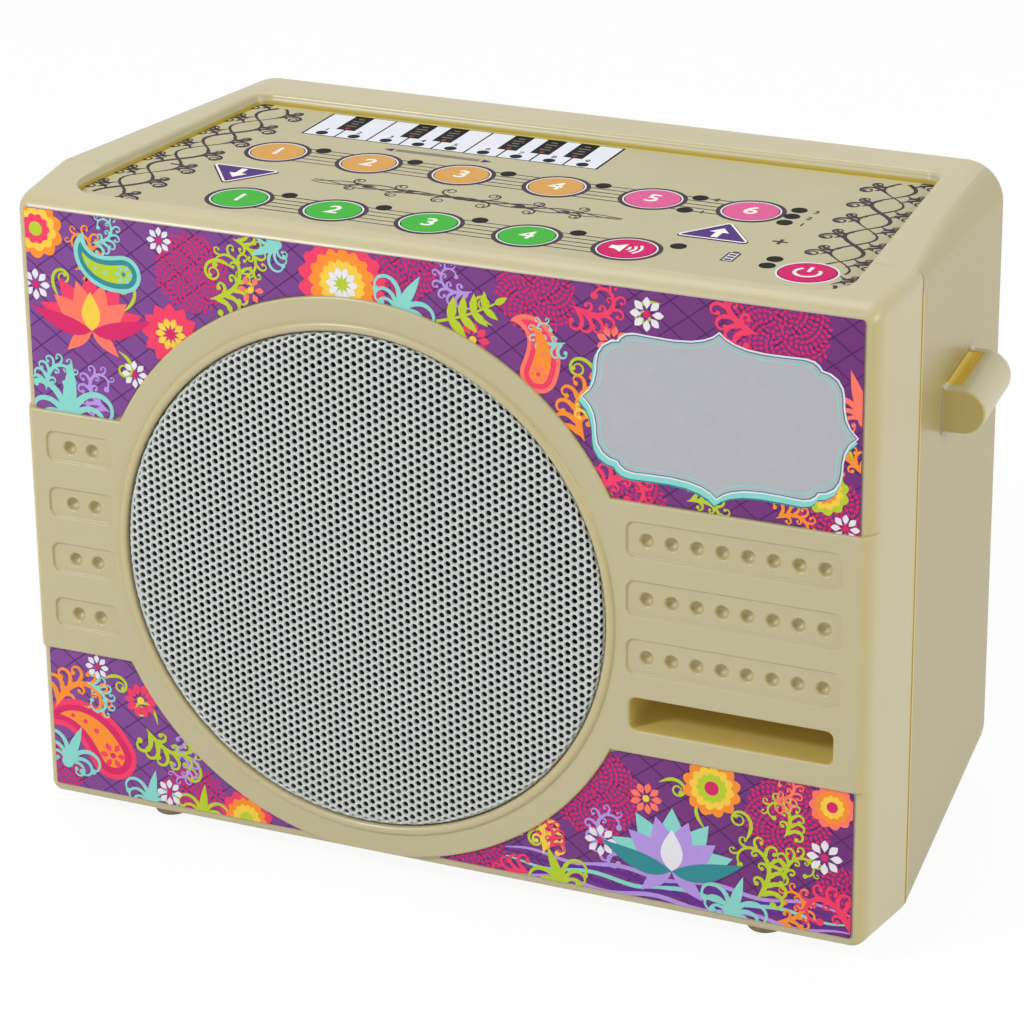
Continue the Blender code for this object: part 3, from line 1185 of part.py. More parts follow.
def battery_pack():
    """Rechargeable cells side by side in a shrink sleeve, upright on the bay's floor."""
    places = [(i - (CELLS - 1) / 2) * 2 * CELL_RADIUS for i in range(CELLS)]
    neck = 35
    outline = arc((places[-1], PACK_Y), CELL_RADIUS, neck - 180, 180 - neck, 10)
    for x in reversed(places[1:-1]):
        outline += arc((x, PACK_Y), CELL_RADIUS, neck, 180 - neck, 4)
    outline += arc((places[0], PACK_Y), CELL_RADIUS, neck, 360 - neck, 10)
    for x in places[1:-1]:
        outline += arc((x, PACK_Y), CELL_RADIUS, 180 + neck, 360 - neck, 4)
    add_solid("battery_pack", prism(outline, PACK_BOTTOM, PACK_TOP), SLEEVE_GREEN)


def battery_door():
    """The door in the back: it turns about its lower outer edge, which is its object's origin."""
    half = DOOR_WIDTH / 2
    edge = 0.4 * MM
    rings = []
    for y, inset in ((-DOOR_THICKNESS, 0.0), (-edge, 0.0), (0.0, edge)):
        outline = rounded_rectangle(-half + inset, half - inset, inset, DOOR_HEIGHT - inset, 1 * MM, 1)
        rings.append([(x, y, z) for x, z in outline])
    door = add_solid("battery_door", skin(rings), IVORY, (0, BACK, DOOR_BOTTOM))
    inside = -DOOR_THICKNESS + 0.5 * MM
    hook = [(inside, 0.3 * MM), (inside, 1.9 * MM), (-TONGUE_DEPTH, 1.9 * MM), (-TONGUE_DEPTH, -TONGUE_REACH)]
    hook += [(-TONGUE_DEPTH + 1.2 * MM, -TONGUE_REACH), (-TONGUE_DEPTH + 1.2 * MM, 0.3 * MM)]
    parts = []
    for x in (-TONGUE_X, TONGUE_X):
        sides = x - TONGUE_WIDTH / 2, x + TONGUE_WIDTH / 2
        parts.append(skin([[(side, y, z) for y, z in hook] for side in sides]))
    latch_top = DOOR_HEIGHT - DOOR_LEDGE - 1.5 * MM
    parts.append(box(-10 * MM, 10 * MM, -3 * DOOR_THICKNESS, inside, latch_top - 1.5 * MM, latch_top))
    combine(door, "UNION", "hooks", parts)


def feet():
    """Four soft feet: a slightly conical pad under the drafted floor, and a stem through it."""
    names = "foot_front_left", "foot_front_right", "foot_rear_left", "foot_rear_right"
    for name, (x, y) in zip(names, foot_places()):
        floor = front_bottom if y < PARTING else rear_bottom
        low = BOTTOM - FOOT_HEIGHT
        turns = [2 * math.pi * (i + 0.5) / 12 for i in range(12)]
        rings = []
        for radius, level in ((FOOT_RADIUS - FOOT_DRAFT, low), (FOOT_RADIUS, None), (FOOT_STEM_RADIUS, None)):
            ring = [(x + radius * math.cos(t), y + radius * math.sin(t)) for t in turns]
            rings.append([(a, b, floor(b) - GAP if level is None else level) for a, b in ring])
        stem_top = BOTTOM + FOOT_STEM_LENGTH
        rings.append([(a, b, stem_top) for a, b, _ in rings[-1]])
        add_solid(name, skin(rings), RUBBER_CREAM)


clear_scene()
ORIGIN = world_origin()
front_shell()
rear_shell()
strap_loop(-1, "strap_loop_left")
strap_loop(1, "strap_loop_right")
speaker_grille()
speaker_gasket()
speaker_frame()
speaker_cone()
speaker_magnet()
labels()
keypad_overlay()
keypad_spacer()
keypad_board()
keys()
main_board()
jack("dc_jack", DC_JACK_X, DC_NOZZLE, DC_BORE, DC_PIN)
jack("line_jack", LINE_JACK_X, LINE_NOZZLE, LINE_BORE, 0.0)
keypad_ribbon()
speaker_lead()
battery_lead()
battery_pack()
battery_door()
feet()
screws()
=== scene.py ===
from math import atan2, cos, degrees, pi, radians, sin, tan

import bmesh
import bpy
from mathutils import Matrix, Vector


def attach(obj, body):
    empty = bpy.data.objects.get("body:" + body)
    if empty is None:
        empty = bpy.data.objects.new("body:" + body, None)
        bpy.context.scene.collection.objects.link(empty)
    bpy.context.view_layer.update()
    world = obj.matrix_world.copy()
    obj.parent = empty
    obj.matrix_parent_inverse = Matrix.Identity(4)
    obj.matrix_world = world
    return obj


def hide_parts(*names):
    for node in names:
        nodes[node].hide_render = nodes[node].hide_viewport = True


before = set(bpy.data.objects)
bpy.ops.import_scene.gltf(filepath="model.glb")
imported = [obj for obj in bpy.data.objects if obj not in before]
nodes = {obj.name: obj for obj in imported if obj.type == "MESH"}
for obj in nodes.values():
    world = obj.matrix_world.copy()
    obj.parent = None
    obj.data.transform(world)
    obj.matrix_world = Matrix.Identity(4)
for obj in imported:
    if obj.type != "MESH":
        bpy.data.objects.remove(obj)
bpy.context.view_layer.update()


# Shader maths is written with Python's operators: a Signal is one output socket of a
# material's tree, and Paint makes the material and any node in it.
class Signal:
    def __init__(self, paint, socket):
        self.paint = paint
        self.socket = socket

    def math(self, operation, *values):
        return self.paint.node("ShaderNodeMath", values, operation=operation)

    def __add__(self, other):
        return self.math("ADD", self, other)

    def __radd__(self, other):
        return self.math("ADD", other, self)

    def __sub__(self, other):
        return self.math("SUBTRACT", self, other)

    def __rsub__(self, other):
        return self.math("SUBTRACT", other, self)

    def __mul__(self, other):
        return self.math("MULTIPLY", self, other)

    def __rmul__(self, other):
        return self.math("MULTIPLY", other, self)

    def __truediv__(self, other):
        return self.math("DIVIDE", self, other)

    def __lt__(self, other):
        return self.math("LESS_THAN", self, other)

    def __gt__(self, other):
        return self.math("GREATER_THAN", self, other)

    def __abs__(self):
        return self.math("ABSOLUTE", self)

    def part(self):
        return self.math("FRACT", self)


class Paint:
    def __init__(self, name, colour=(0.5, 0.5, 0.5), roughness=0.5, metallic=0.0, coat=0.0, shine=0.5):
        self.material = bpy.data.materials.new(name)
        self.material.use_nodes = True
        self.tree = self.material.node_tree
        self.surface = self.tree.nodes["Principled BSDF"]
        self.set("Base Color", (*colour, 1.0))
        self.set("Roughness", roughness)
        self.set("Metallic", metallic)
        self.set("Coat Weight", coat)
        self.set("Specular IOR Level", shine)

    def node(self, kind, inputs=(), output=0, **settings):
        made = self.tree.nodes.new(kind)
        for name, value in settings.items():
            setattr(made, name, value)
        named = inputs.items() if isinstance(inputs, dict) else enumerate(inputs)
        for key, value in named:
            self.join(made.inputs[key], value)
        return Signal(self, made.outputs[output])

    def join(self, socket, value):
        if isinstance(value, Signal):
            self.tree.links.new(value.socket, socket)
        else:
            socket.default_value = value

    def set(self, name, value):
        self.join(self.surface.inputs[name], value)

    def place(self):
        return self.node("ShaderNodeTexCoord", output="Object")

    def axes(self, vector):
        """The three numbers of a vector, such as a point's place or a face's direction."""
        x = self.node("ShaderNodeSeparateXYZ", (vector,))
        return x, *(Signal(self, x.socket.node.outputs[i]) for i in (1, 2))

    def noise(self, scale, detail=2.0):
        return self.node("ShaderNodeTexNoise", {"Vector": self.place(), "Scale": scale, "Detail": detail})

    def blend(self, factor, first, second):
        ends = [value if isinstance(value, Signal) else (*value, 1.0) for value in (first, second)]
        return self.node("ShaderNodeMix", {0: factor, 6: ends[0], 7: ends[1]}, output=2, data_type="RGBA")

    def mottle(self, colour, spread, scale):
        """Lets a colour come and go a little, as ink, enamel and moulded plastic do."""
        deeper = [part * (1 - spread) for part in colour]
        paler = [min(part * (1 + spread), 1.0) for part in colour]
        self.set("Base Color", self.blend(self.noise(scale, 3.0), deeper, paler))

    def grain(self, scale, strength, distance=0.0001):
        bump = {"Strength": strength, "Distance": distance, "Height": self.noise(scale)}
        self.set("Normal", self.node("ShaderNodeBump", bump))


# The camera stands a metre away to the right of the front and looks slightly down, as the
# photograph's does.
bpy.ops.object.camera_add(
    location=(0.4575, -1.0157, 0.5493),
    rotation=(radians(67.753), radians(0.629), radians(24.247)),
)
camera = bpy.context.object
camera.data.lens = 141.39
camera.data.sensor_width = 36.0
bpy.context.scene.camera = camera

# A white floor that keeps the object's shadow, and a white surround that lights it evenly. The
# key lamp is at the upper left of the front, a second one beside the right side, a weak one above.
bpy.ops.mesh.primitive_plane_add(size=12.0, location=(0.0, 0.0, 0.0))
floor = bpy.context.object
floor.name = "floor"
floor_paint = Paint("floor_white", (0.92, 0.92, 0.92), 0.9)
rays = floor_paint.tree.nodes.new("ShaderNodeLightPath")
seen = [Signal(floor_paint, rays.outputs[f"Is {kind} Ray"]) for kind in ("Camera", "Glossy", "Transmission")]
glow = floor_paint.node("ShaderNodeEmission", {"Color": (1.0, 1.0, 1.0, 1.0), "Strength": 1.0})
mixed = floor_paint.node("ShaderNodeMixShader")
floor_paint.join(mixed.socket.node.inputs[0], (seen[0] + seen[1] + seen[2] > 0.5) * 0.93)
floor_paint.join(mixed.socket.node.inputs[1], Signal(floor_paint, floor_paint.surface.outputs[0]))
floor_paint.join(mixed.socket.node.inputs[2], glow)
floor_paint.join(floor_paint.tree.nodes["Material Output"].inputs["Surface"], mixed)
floor.data.materials.append(floor_paint.material)

world = bpy.data.worlds.new("surround")
world.use_nodes = True
bpy.context.scene.world = world
air = world.node_tree
rays = air.nodes.new("ShaderNodeLightPath")
seen = air.nodes.new("ShaderNodeMath")
seen.operation = "ADD"
shown = air.nodes.new("ShaderNodeMath")
shown.operation = "ADD"
shown.use_clamp = True
strength = air.nodes.new("ShaderNodeMapRange")
strength.inputs["To Min"].default_value = 0.40
strength.inputs["To Max"].default_value = 1.0
air.links.new(rays.outputs["Is Camera Ray"], seen.inputs[0])
air.links.new(rays.outputs["Is Glossy Ray"], seen.inputs[1])
air.links.new(seen.outputs[0], shown.inputs[0])
air.links.new(rays.outputs["Is Transmission Ray"], shown.inputs[1])
air.links.new(shown.outputs[0], strength.inputs["Value"])
air.nodes["Background"].inputs["Color"].default_value = (1.0, 1.0, 1.0, 1.0)
air.links.new(strength.outputs["Result"], air.nodes["Background"].inputs["Strength"])
bpy.context.scene.view_settings.view_transform = "Standard"

for place, turn, size, energy in (
    ((-0.75, -1.1, 1.05), (50, 0, -34), 0.3, 13.8),
    ((1.35, -0.1, 0.75), (64, 0, 86), 0.7, 9.5),
    ((-0.3, 0.5, 1.7), (-17, 0, 31), 0.9, 7.8),
):
    bpy.ops.object.light_add(type="AREA", location=place, rotation=[radians(angle) for angle in turn])
    bpy.context.object.data.size = size
    bpy.context.object.data.energy = energy

# Moulded ivory plastic of the case, the strap loops and the battery door, with the fine texture of the mould.
# Painted golden shade stands for light through the plastic in the seam, the port, the slot, the loops' front
# ends, the front's side corners and the foot of the recess wall; the rear flanks get painted shade, and the
# slot and port a painted glow.
ivory = Paint("ivory_plastic", roughness=0.42, coat=0.2)
ivory.set("Coat Roughness", 0.18)
x, y, z = ivory.axes(ivory.place())
side, front, up = ivory.axes(ivory.node("ShaderNodeNewGeometry", output="Normal"))
out = abs(x) - (0.1339 - (y + 0.0367) * 0.0928)
# Painted golden core shade on the rounded vertical edges where the front turns to the side.
corner = abs(side) * abs(front) * (y < -0.05)
# Painted golden shade in the seam groove between the two shells.
painted_seam_shade = abs(y + 0.0363) < 0.0014
# Painted golden shade along the foot of the keypad recess wall.
painted_wall_foot_shade = (z > 0.1955) * (z < 0.1966) * (out < -0.0105) * (abs(x) < 0.1235) * (y < 0.049) * (y > -0.061)
# Painted golden shade inside the bass port duct, which also gets a faint painted glow below.
port = (y > -0.0681) * (y < -0.036) * (abs(x - 0.09155) < 0.0306) * (abs(z - 0.06785) < 0.0052)
# Painted golden light inside the strap loops' webbing slot, which also gets a painted glow below.
slot = (out > 0.0) * (out < 0.0052) * (abs(y - 0.0080) < 0.0152) * (abs(z - 0.1489) < 0.0063)
# Painted golden shade on the front-facing ends of the strap loops, chosen by the way the face points.
painted_loop_end_shade = (out > 0.0006) * (front < -0.6)
# All the painted golden shade gathered into one mask.
painted_golden_shade = corner * 0.8 + painted_seam_shade * (z < 0.192) * 0.9 + painted_wall_foot_shade + port * 0.8 + slot * 0.8 + painted_loop_end_shade * 0.75
tone = ivory.blend(ivory.noise(9.0, 3.0), (0.446, 0.392, 0.222), (0.496, 0.444, 0.267))
# Painted shade darkening the sides of the rear shell.
painted_flank_shade = abs(side) * (y > -0.0362) * (out < 0.0005) * (out > -0.0060) * 0.9
# The colour of the painted golden shade, deeper at the foot of the recess wall.
painted_shade_gold = ivory.blend(painted_wall_foot_shade, (0.52, 0.395, 0.10), (0.42, 0.33, 0.035))
ivory.set("Base Color", ivory.blend(painted_golden_shade, ivory.blend(painted_flank_shade, tone, (0.318, 0.258, 0.092)), painted_shade_gold))
# Painted glow: the slot and the port give off a faint golden light of their own.
ivory.set("Emission Color", ivory.blend(slot + port * 0.35, (0.0, 0.0, 0.0), (0.17, 0.12, 0.02)))
ivory.set("Emission Strength", 1.0)
ivory.grain(1500.0, 0.10)

# Front shell: a shallow moulding with drafted sides and a rounded front edge. The band, the
# ring round the grille and the bosses are moulded on it, and the vents, the bass port and the
# keypad's recess are sunk into it.
DRAFT = tan(radians(4.0))
TAPER = tan(radians(5.3))
HALF_WIDTH = 133.9
TOP = 199.0
BOTTOM = 4.7
SEAM_Y = -36.7
FRONT_Y = -67.0
BACK_Y = 70.0
FACE_Y = -68.5
SPEAKER_X = -22.1
SPEAKER_Z = 93.7
SEAM_CORNER = 3.6
REAR_CORNER = 12.4


def lofted(name, rings, closed=False):
    """A body through rings of points in mm, with flat ends or joined end to end."""
    shape = bmesh.new()
    rows = [[shape.verts.new(Vector(point) * 0.001) for point in ring] for ring in rings]
    for row, after in zip(rows, rows[1:] + (rows[:1] if closed else [])):
        for i in range(len(row)):
            j = (i + 1) % len(row)
            shape.faces.new((row[i], row[j], after[j], after[i]))
    if not closed:
        shape.faces.new(rows[0][::-1])
        shape.faces.new(rows[-1])
    return made_piece(name, shape)


def made_piece(name, shape):
    """A bmesh turned into a piece of the scene, with its faces pointing out."""
    bmesh.ops.recalc_face_normals(shape, faces=shape.faces)
    mesh = bpy.data.meshes.new(name)
    shape.to_mesh(mesh)
    shape.free()
    piece = bpy.data.objects.new(name, mesh)
    bpy.context.scene.collection.objects.link(piece)
    return piece


def turned(name, profile, steps, centre, axis="Y"):
    """A body turned about a line along Y or Z; its profile starts and ends on it, or is a closed ring."""
    shape = bmesh.new()
    rings = []
    for radius, along in profile:
        ring = []
        for i in range(steps if radius else 1):
            turn = 2 * pi * (i + 0.5) / steps
            a, b = centre[0] + radius * cos(turn), centre[1] + radius * sin(turn)
            ring.append(shape.verts.new(Vector((a, along, b) if axis == "Y" else (a, b, along)) * 0.001))
        rings.append(ring)
    for ring, after in zip(rings, rings[1:] + (rings[:1] if profile[0][0] else [])):
        for i in range(steps):
            near = ring[i % len(ring)], ring[(i + 1) % len(ring)]
            far = after[(i + 1) % len(after)], after[i % len(after)]
            corners = list(dict.fromkeys(near + far))
            if len(corners) > 2:
                shape.faces.new(corners)
    return made_piece(name, shape)


def arc(centre, radius, start, end, steps):
    """Points on an arc in degrees, ends included."""
    turns = [radians(start + (end - start) * i / steps) for i in range(steps + 1)]
    return [(centre[0] + radius * cos(t), centre[1] + radius * sin(t)) for t in turns]


def rounded(left, right, low, high, radius, steps=6):
    """A rounded rectangle, anticlockwise from its lower right corner."""
    return (
        arc((right - radius, low + radius), radius, -90, 0, steps)
        + arc((right - radius, high - radius), radius, 0, 90, steps)
        + arc((left + radius, high - radius), radius, 90, 180, steps)
        + arc((left + radius, low + radius), radius, 180, 270, steps)
    )


def shaped(target, operation, tools):
    """Adds tools to a piece or cuts them out of it, all at once, and deletes them."""
    group = bpy.data.collections.new("tools")
    bpy.context.scene.collection.children.link(group)
    for tool in tools:
        bpy.context.scene.collection.objects.unlink(tool)
        group.objects.link(tool)
    modifier = target.modifiers.new("shaped", "BOOLEAN")
    modifier.operation = operation
    modifier.solver = "EXACT"
    modifier.operand_type = "COLLECTION"
    modifier.collection = group
    bpy.context.view_layer.objects.active = target
    bpy.ops.object.modifier_apply(modifier="shaped")
    for tool in tools:
        bpy.data.objects.remove(tool, do_unlink=True)
    bpy.data.collections.remove(group)


def dressed(piece, paint, angle=38):
    """Smooths a piece's round faces, keeps its flat ones flat and gives it its material."""
    bpy.ops.object.select_all(action="DESELECT")
    piece.select_set(True)
    bpy.context.view_layer.objects.active = piece
    bpy.ops.object.shade_smooth_by_angle(angle=radians(angle))
    modifier = piece.modifiers.new("flat_faces", "WEIGHTED_NORMAL")
    modifier.keep_sharp = True
    bpy.ops.object.modifier_apply(modifier="flat_faces")
    piece.data.materials.clear()
    piece.data.materials.append(paint.material)


def stands_for(piece, node, body="case"):
    """Puts a finished piece in the place of a node."""
    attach(piece, body)
    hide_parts(node)


def box(x0, x1, y0, y1, z0, z1):
    corners = (x0, z0), (x1, z0), (x1, z1), (x0, z1)
    return lofted("box", [[(x, y, z) for x, z in corners] for y in (y0, y1)])


def front_half(y):
    return HALF_WIDTH - (SEAM_Y - y) * DRAFT


def front_corner(y):
    return 4.5 + (SEAM_CORNER - 4.5) * (y - FRONT_Y) / (SEAM_Y - FRONT_Y)


def front_loop(y, inset=0.0, top=None):
    half = front_half(y) - inset
    high = TOP - (SEAM_Y - y) * DRAFT - inset if top is None else top
    low = BOTTOM + (SEAM_Y - y) * DRAFT + inset
    return [(x, y, z) for x, z in rounded(-half, half, low, high, max(front_corner(y) - inset, 0.6))]


def front_edge(turn):
    """One loop of the rounding round the front face, longer towards the back along the top and sides."""
    back, inward = 1 - cos(turn), 1 - sin(turn)
    depths = 6.0 * back, 7.0 * back, 1.6 * back
    half = front_half(FRONT_Y + depths[0]) - 3.3 * inward
    high = TOP - (SEAM_Y - FRONT_Y - depths[1]) * DRAFT - 4.2 * inward
    low = BOTTOM + (SEAM_Y - FRONT_Y - depths[2]) * DRAFT + 1.6 * inward
    radius = front_corner(FRONT_Y + depths[0]) - 3.3 * inward
    points = []
    for x, z in rounded(-half, half, low, high, radius):
        upper = min(max((z - high + radius) / radius, 0.0), 1.0)
        lower = min(max((low + radius - z) / radius, 0.0), 1.0)
        depth = depths[0] + (depths[1] - depths[0]) * upper + (depths[2] - depths[0]) * lower
        points.append((x, FRONT_Y + depth, z))
    return points


def recess(inset, z):
    """The keypad recess seen from above, at one level."""
    front, back = -59.2 + inset, 47.3 - inset
    half_front = front_half(-59.2) - 13.2 - inset
    half_back = HALF_WIDTH - (47.3 - SEAM_Y) * TAPER - 15.1 - inset
    wide, radius = max(10.0 - inset, 1.0), max(5.0 - inset, 1.0)
    right = arc((half_front - wide, front + wide), wide, -90, 0, 12)
    right += arc((half_back - radius, back - radius), radius, 5, 90, 8)
    return [(x, y, z) for x, y in right + [(-x, y) for x, y in reversed(right)]]


def recess_tools():
    """The recess with its rounded rim and drafted wall, and the opening inside the board's ledge."""
    rim = [(204.0, -1.8)]
    for turn in range(90, -1, -15):
        rim.append((TOP - 1.8 * (1 - sin(radians(turn))), -1.8 * (1 - cos(radians(turn)))))
    rim += [(195.6, 0.9), (191.5, 0.9)]
    pocket = lofted("pocket", [recess(inset, z) for z, inset in rim])
    return [pocket, lofted("opening", [recess(6.9, 204.0), recess(6.9, 184.0)])]


def outlined(outline, levels):
    """A body along Y from a rounded rectangle's (left, right, low, high, radius) and (y, outset) levels."""
    left, right, low, high, radius = outline
    rings = []
    for y, grow in levels:
        points = rounded(left - grow, right + grow, low - grow, high + grow, max(radius + grow, 0.3))
        rings.append([(x, y, z) for x, z in points])
    return lofted("outlined", rings)


front_shell = lofted(
    "front_shell_fine",
    [front_edge(radians(turn)) for turn in range(0, 91, 15)] + [front_loop(-37.7), front_loop(-37.6, 0.1)],
)
band_levels = [(-38.4, 0.7), (-38.3, 1.15), (-38.0, 1.4), (-37.6, 1.5)]
band_rings = []
for z, raised in band_levels + [(-z, raised) for z, raised in reversed(band_levels)]:
    right = [(front_half(-58.5) - 1.5, -58.5)]
    for turn in range(90, -1, -15):
        y = FRONT_Y + 6.0 * (1 - cos(radians(turn))) - raised
        right.append((front_half(y) - 3.3 * (1 - sin(radians(turn))), y))
    band_rings.append([(x, y, SPEAKER_Z + z) for x, y in right + [(-x, y) for x, y in reversed(right)]])
shaped(front_shell, "UNION", [lofted("band", band_rings)])
hollow = lofted("hollow", [front_loop(y, 2.5, 189.5) for y in (-64.5, -35.7)])
throat = turned("throat", [(0, -77.0), (81.3, -77.0), (81.3, -63.5), (0, -63.5)], 96, (SPEAKER_X, SPEAKER_Z))
shaped(front_shell, "DIFFERENCE", [hollow, throat])
ring_profile = [(86.4, -65.5), (86.4, -67.7), (86.32, -68.1), (86.1, -68.35), (85.8, -68.46), (85.4, -68.5)]
ring_profile += [(80.2, -68.5), (79.5, -68.44), (79.15, -68.42), (79.0, -68.6), (78.85, -68.95)]
ring_profile += [(78.5, -69.25), (78.0, -69.42), (77.5, -69.45), (77.0, -69.3), (76.6, -69.0)]
ring_profile += [(76.38, -68.6), (76.3, -68.1)]
ring_profile += [(76.3, -65.5), (67.3, -65.5), (67.3, -62.0), (80.3, -62.0), (80.3, -65.5)]
ring = turned("ring", ring_profile, 192, (SPEAKER_X, SPEAKER_Z))
under = [(-77.0, BOTTOM + (SEAM_Y - FRONT_Y) * DRAFT + 1.6)]
for turn in range(0, 91, 15):
    y = FRONT_Y + 1.6 * (1 - cos(radians(turn)))
    under.append((y, BOTTOM + (SEAM_Y - y) * DRAFT + 1.6 * (1 - sin(radians(turn)))))
under += [(-65.4, -20.0), (-77.0, -20.0)]
shaped(ring, "DIFFERENCE", [lofted("trim", [[(x, y, z - 0.02) for y, z in under] for x in (-130.0, 130.0)])])
post_places = [(x, z) for x in (-108.0, 108.0) for z in (179.7, 23.7)]
boss_profile = [(0, -65.75), (4.2, -65.75), (4.2, -35.2), (0, -35.2)]
bosses = [turned("boss", boss_profile, 24, place) for place in post_places]
port_outline = (61.2, 121.9, 62.9, 72.8, 2.0)
duct = outlined(port_outline, [(-65.75, 2.0), (-39.0, 2.0)])
shaped(front_shell, "UNION", [ring, duct] + bosses)
port_levels = [(-77.0, 0.8), (FACE_Y, 0.8), (-68.42, 0.45), (-68.15, 0.15), (-67.7, 0.0), (-34.0, 0.0)]
cuts = [outlined(port_outline, port_levels)]
vents = [(92.0, 27.4 - 17.75 * i, 31.7, 5.3, 8) for i in range(3)]
vents += [(-113.7, 27.4 - 17.75 * i, 10.8, 4.6, 2) for i in range(4)]
vent_levels = [(-77.0, 0.45), (FACE_Y, 0.45), (-68.44, 0.2), (-68.28, 0.05), (-68.05, 0.0)]
vent_levels += [(-67.9, -0.05), (-67.76, -0.25), (-67.72, -0.5)]
bowl = [(0, -70.0), (2.45, -70.0), (2.45, -67.7), (2.2, -67.62), (2.0, -67.35), (1.85, -66.9)]
bowl += [(1.6, -66.3), (1.05, -65.75), (0, -65.55)]
for x, z, half, rise, count in vents:
    z += SPEAKER_Z
    cuts.append(outlined((x - half, x + half, z - rise, z + rise, 2.4), vent_levels))
    for i in range(count):
        cuts.append(turned("bowl", bowl, 20, (x + 0.4 + (i - (count - 1) / 2) * 7.5, z - 0.2)))
for place in post_places:
    cuts.append(turned("screw_hole", [(0, -59.2), (1.8, -59.2), (1.8, -30.0), (0, -30.0)], 16, place))
shaped(front_shell, "DIFFERENCE", cuts + recess_tools())
dressed(front_shell, ivory)
stands_for(front_shell, "front_shell")

# Rear shell: the deep half of the case, tapered to the back, with large soft corners. It holds
# the screw wells, the sockets' holes, the main board's standoffs and the battery bay.
UNDER = tan(radians(1.9))


def rear_half(y):
    return HALF_WIDTH - (y - SEAM_Y) * TAPER


def rear_loop(y, inset=0.0, top=None):
    half = rear_half(y) - inset
    high = TOP - inset if top is None else top
    low = BOTTOM + (y - SEAM_Y) * UNDER + inset
    corner = SEAM_CORNER + (REAR_CORNER - SEAM_CORNER) * (y - SEAM_Y) / (BACK_Y - SEAM_Y)
    return [(x, y, z) for x, z in rounded(-half, half, low, high, max(corner - inset, 1.5), 10)]


def round_tool(radius, place, y0, y1, steps=24):
    return turned("round_tool", [(0, y0), (radius, y0), (radius, y1), (0, y1)], steps, place)


rear_loops = [rear_loop(y, inset, TOP - 0.12) for y, inset in ((-37.55, 0.3), (-36.11, 0.3), (-36.1, 0.08))]
rear_loops.append(rear_loop(-35.8))
for y in (-10.0, 20.0, 50.0):
    rear_loops.append(rear_loop(y))
for turn in range(0, 91, 10):
    y, inset = BACK_Y - 8.5 * (1 - sin(radians(turn))), 8.5 * (1 - cos(radians(turn)))
    rear_loops.append(rear_loop(y, inset))
rear_shell = lofted("rear_shell_fine", rear_loops)
hollow_levels = ((-37.7, 2.5), (0.0, 2.5), (49.0, 2.5), (52.3, 2.9))
below_keypad = lofted("below_keypad", [rear_loop(y, inset, 189.5) for y, inset in hollow_levels])
behind_keypad = lofted("behind_keypad", [rear_loop(49.8, 2.5), rear_loop(61.5, 2.5), rear_loop(67.5, 5.1)])
shaped(rear_shell, "DIFFERENCE", [below_keypad, behind_keypad])
standoff_places = [(x, z) for x in (-74.0, 74.0) for z in (171.7, 111.7)]
inner = [round_tool(6.5, place, -34.9, 68.75) for place in post_places]
inner += [round_tool(3.5, place, 60.5, 68.75) for place in standoff_places]
shaped(rear_shell, "UNION", inner + [box(-64.0, 64.0, 37.0, 68.75, 21.7, 85.7)])
cuts = [round_tool(4.4, place, -29.9, 75.0) for place in post_places]
cuts += [round_tool(1.8, place, -35.9, -28.9, 12) for place in post_places]
cuts += [round_tool(1.5, place, 59.5, 67.0, 12) for place in standoff_places]
cuts += [round_tool(5.7, (40.0, 123.7), 64.5, 75.0, 32), round_tool(4.5, (62.0, 123.7), 64.5, 75.0, 32)]
cuts += [box(-59.0, 59.0, 39.5, 75.0, 26.7, 80.7), box(-62.4, 62.4, 67.5, 75.0, 23.3, 84.1)]
cuts += [box(x - 6.5, x + 6.5, 64.0, 68.5, 19.7, 27.7) for x in (-40.0, 40.0)]
notch = [(0, 68.8), (8.4, 68.8), (9.0, 69.0), (9.6, 69.5), (10.0, 70.4), (10.0, 75.0), (0, 75.0)]
cuts.append(turned("notch", notch, 40, (0.0, 83.7)))
cuts.append(turned("lead_hole", [(0, 79.7), (3.7, 79.7), (3.7, 86.7), (0, 86.7)], 20, (-45.6, 51.2), "Z"))
shaped(rear_shell, "DIFFERENCE", cuts + recess_tools())
dressed(rear_shell, ivory)
stands_for(rear_shell, "rear_shell")

# Strap loops: a D-section bar on each side, moulded with a slot next to the wall for webbing
# and a small fillet where it meets the case.
LOOP_MIDDLE = 7.7
LOOP_Z = 148.9


def on_side(side, along, out, z):
    """A point on the tapered side: so far along the wall to the back, out of it and up."""
    lean = radians(5.3)
    x = rear_half(LOOP_MIDDLE) - along * sin(lean) + out * cos(lean)
    return side * x, LOOP_MIDDLE + along * cos(lean) + out * sin(lean), LOOP_Z + z


def loop_section(inset):
    """The D seen along the bar as (out, z), with its fillets on the wall."""
    rise = 6.5 - inset
    upper = [(-0.6, rise + 1.6), (0.05, rise + 1.6), (0.3, rise + 0.9), (0.8, rise + 0.3), (1.7, rise)]
    return upper + arc((6.1, 0.0), rise, 90, -90, 20) + [(out, -z) for out, z in reversed(upper)]


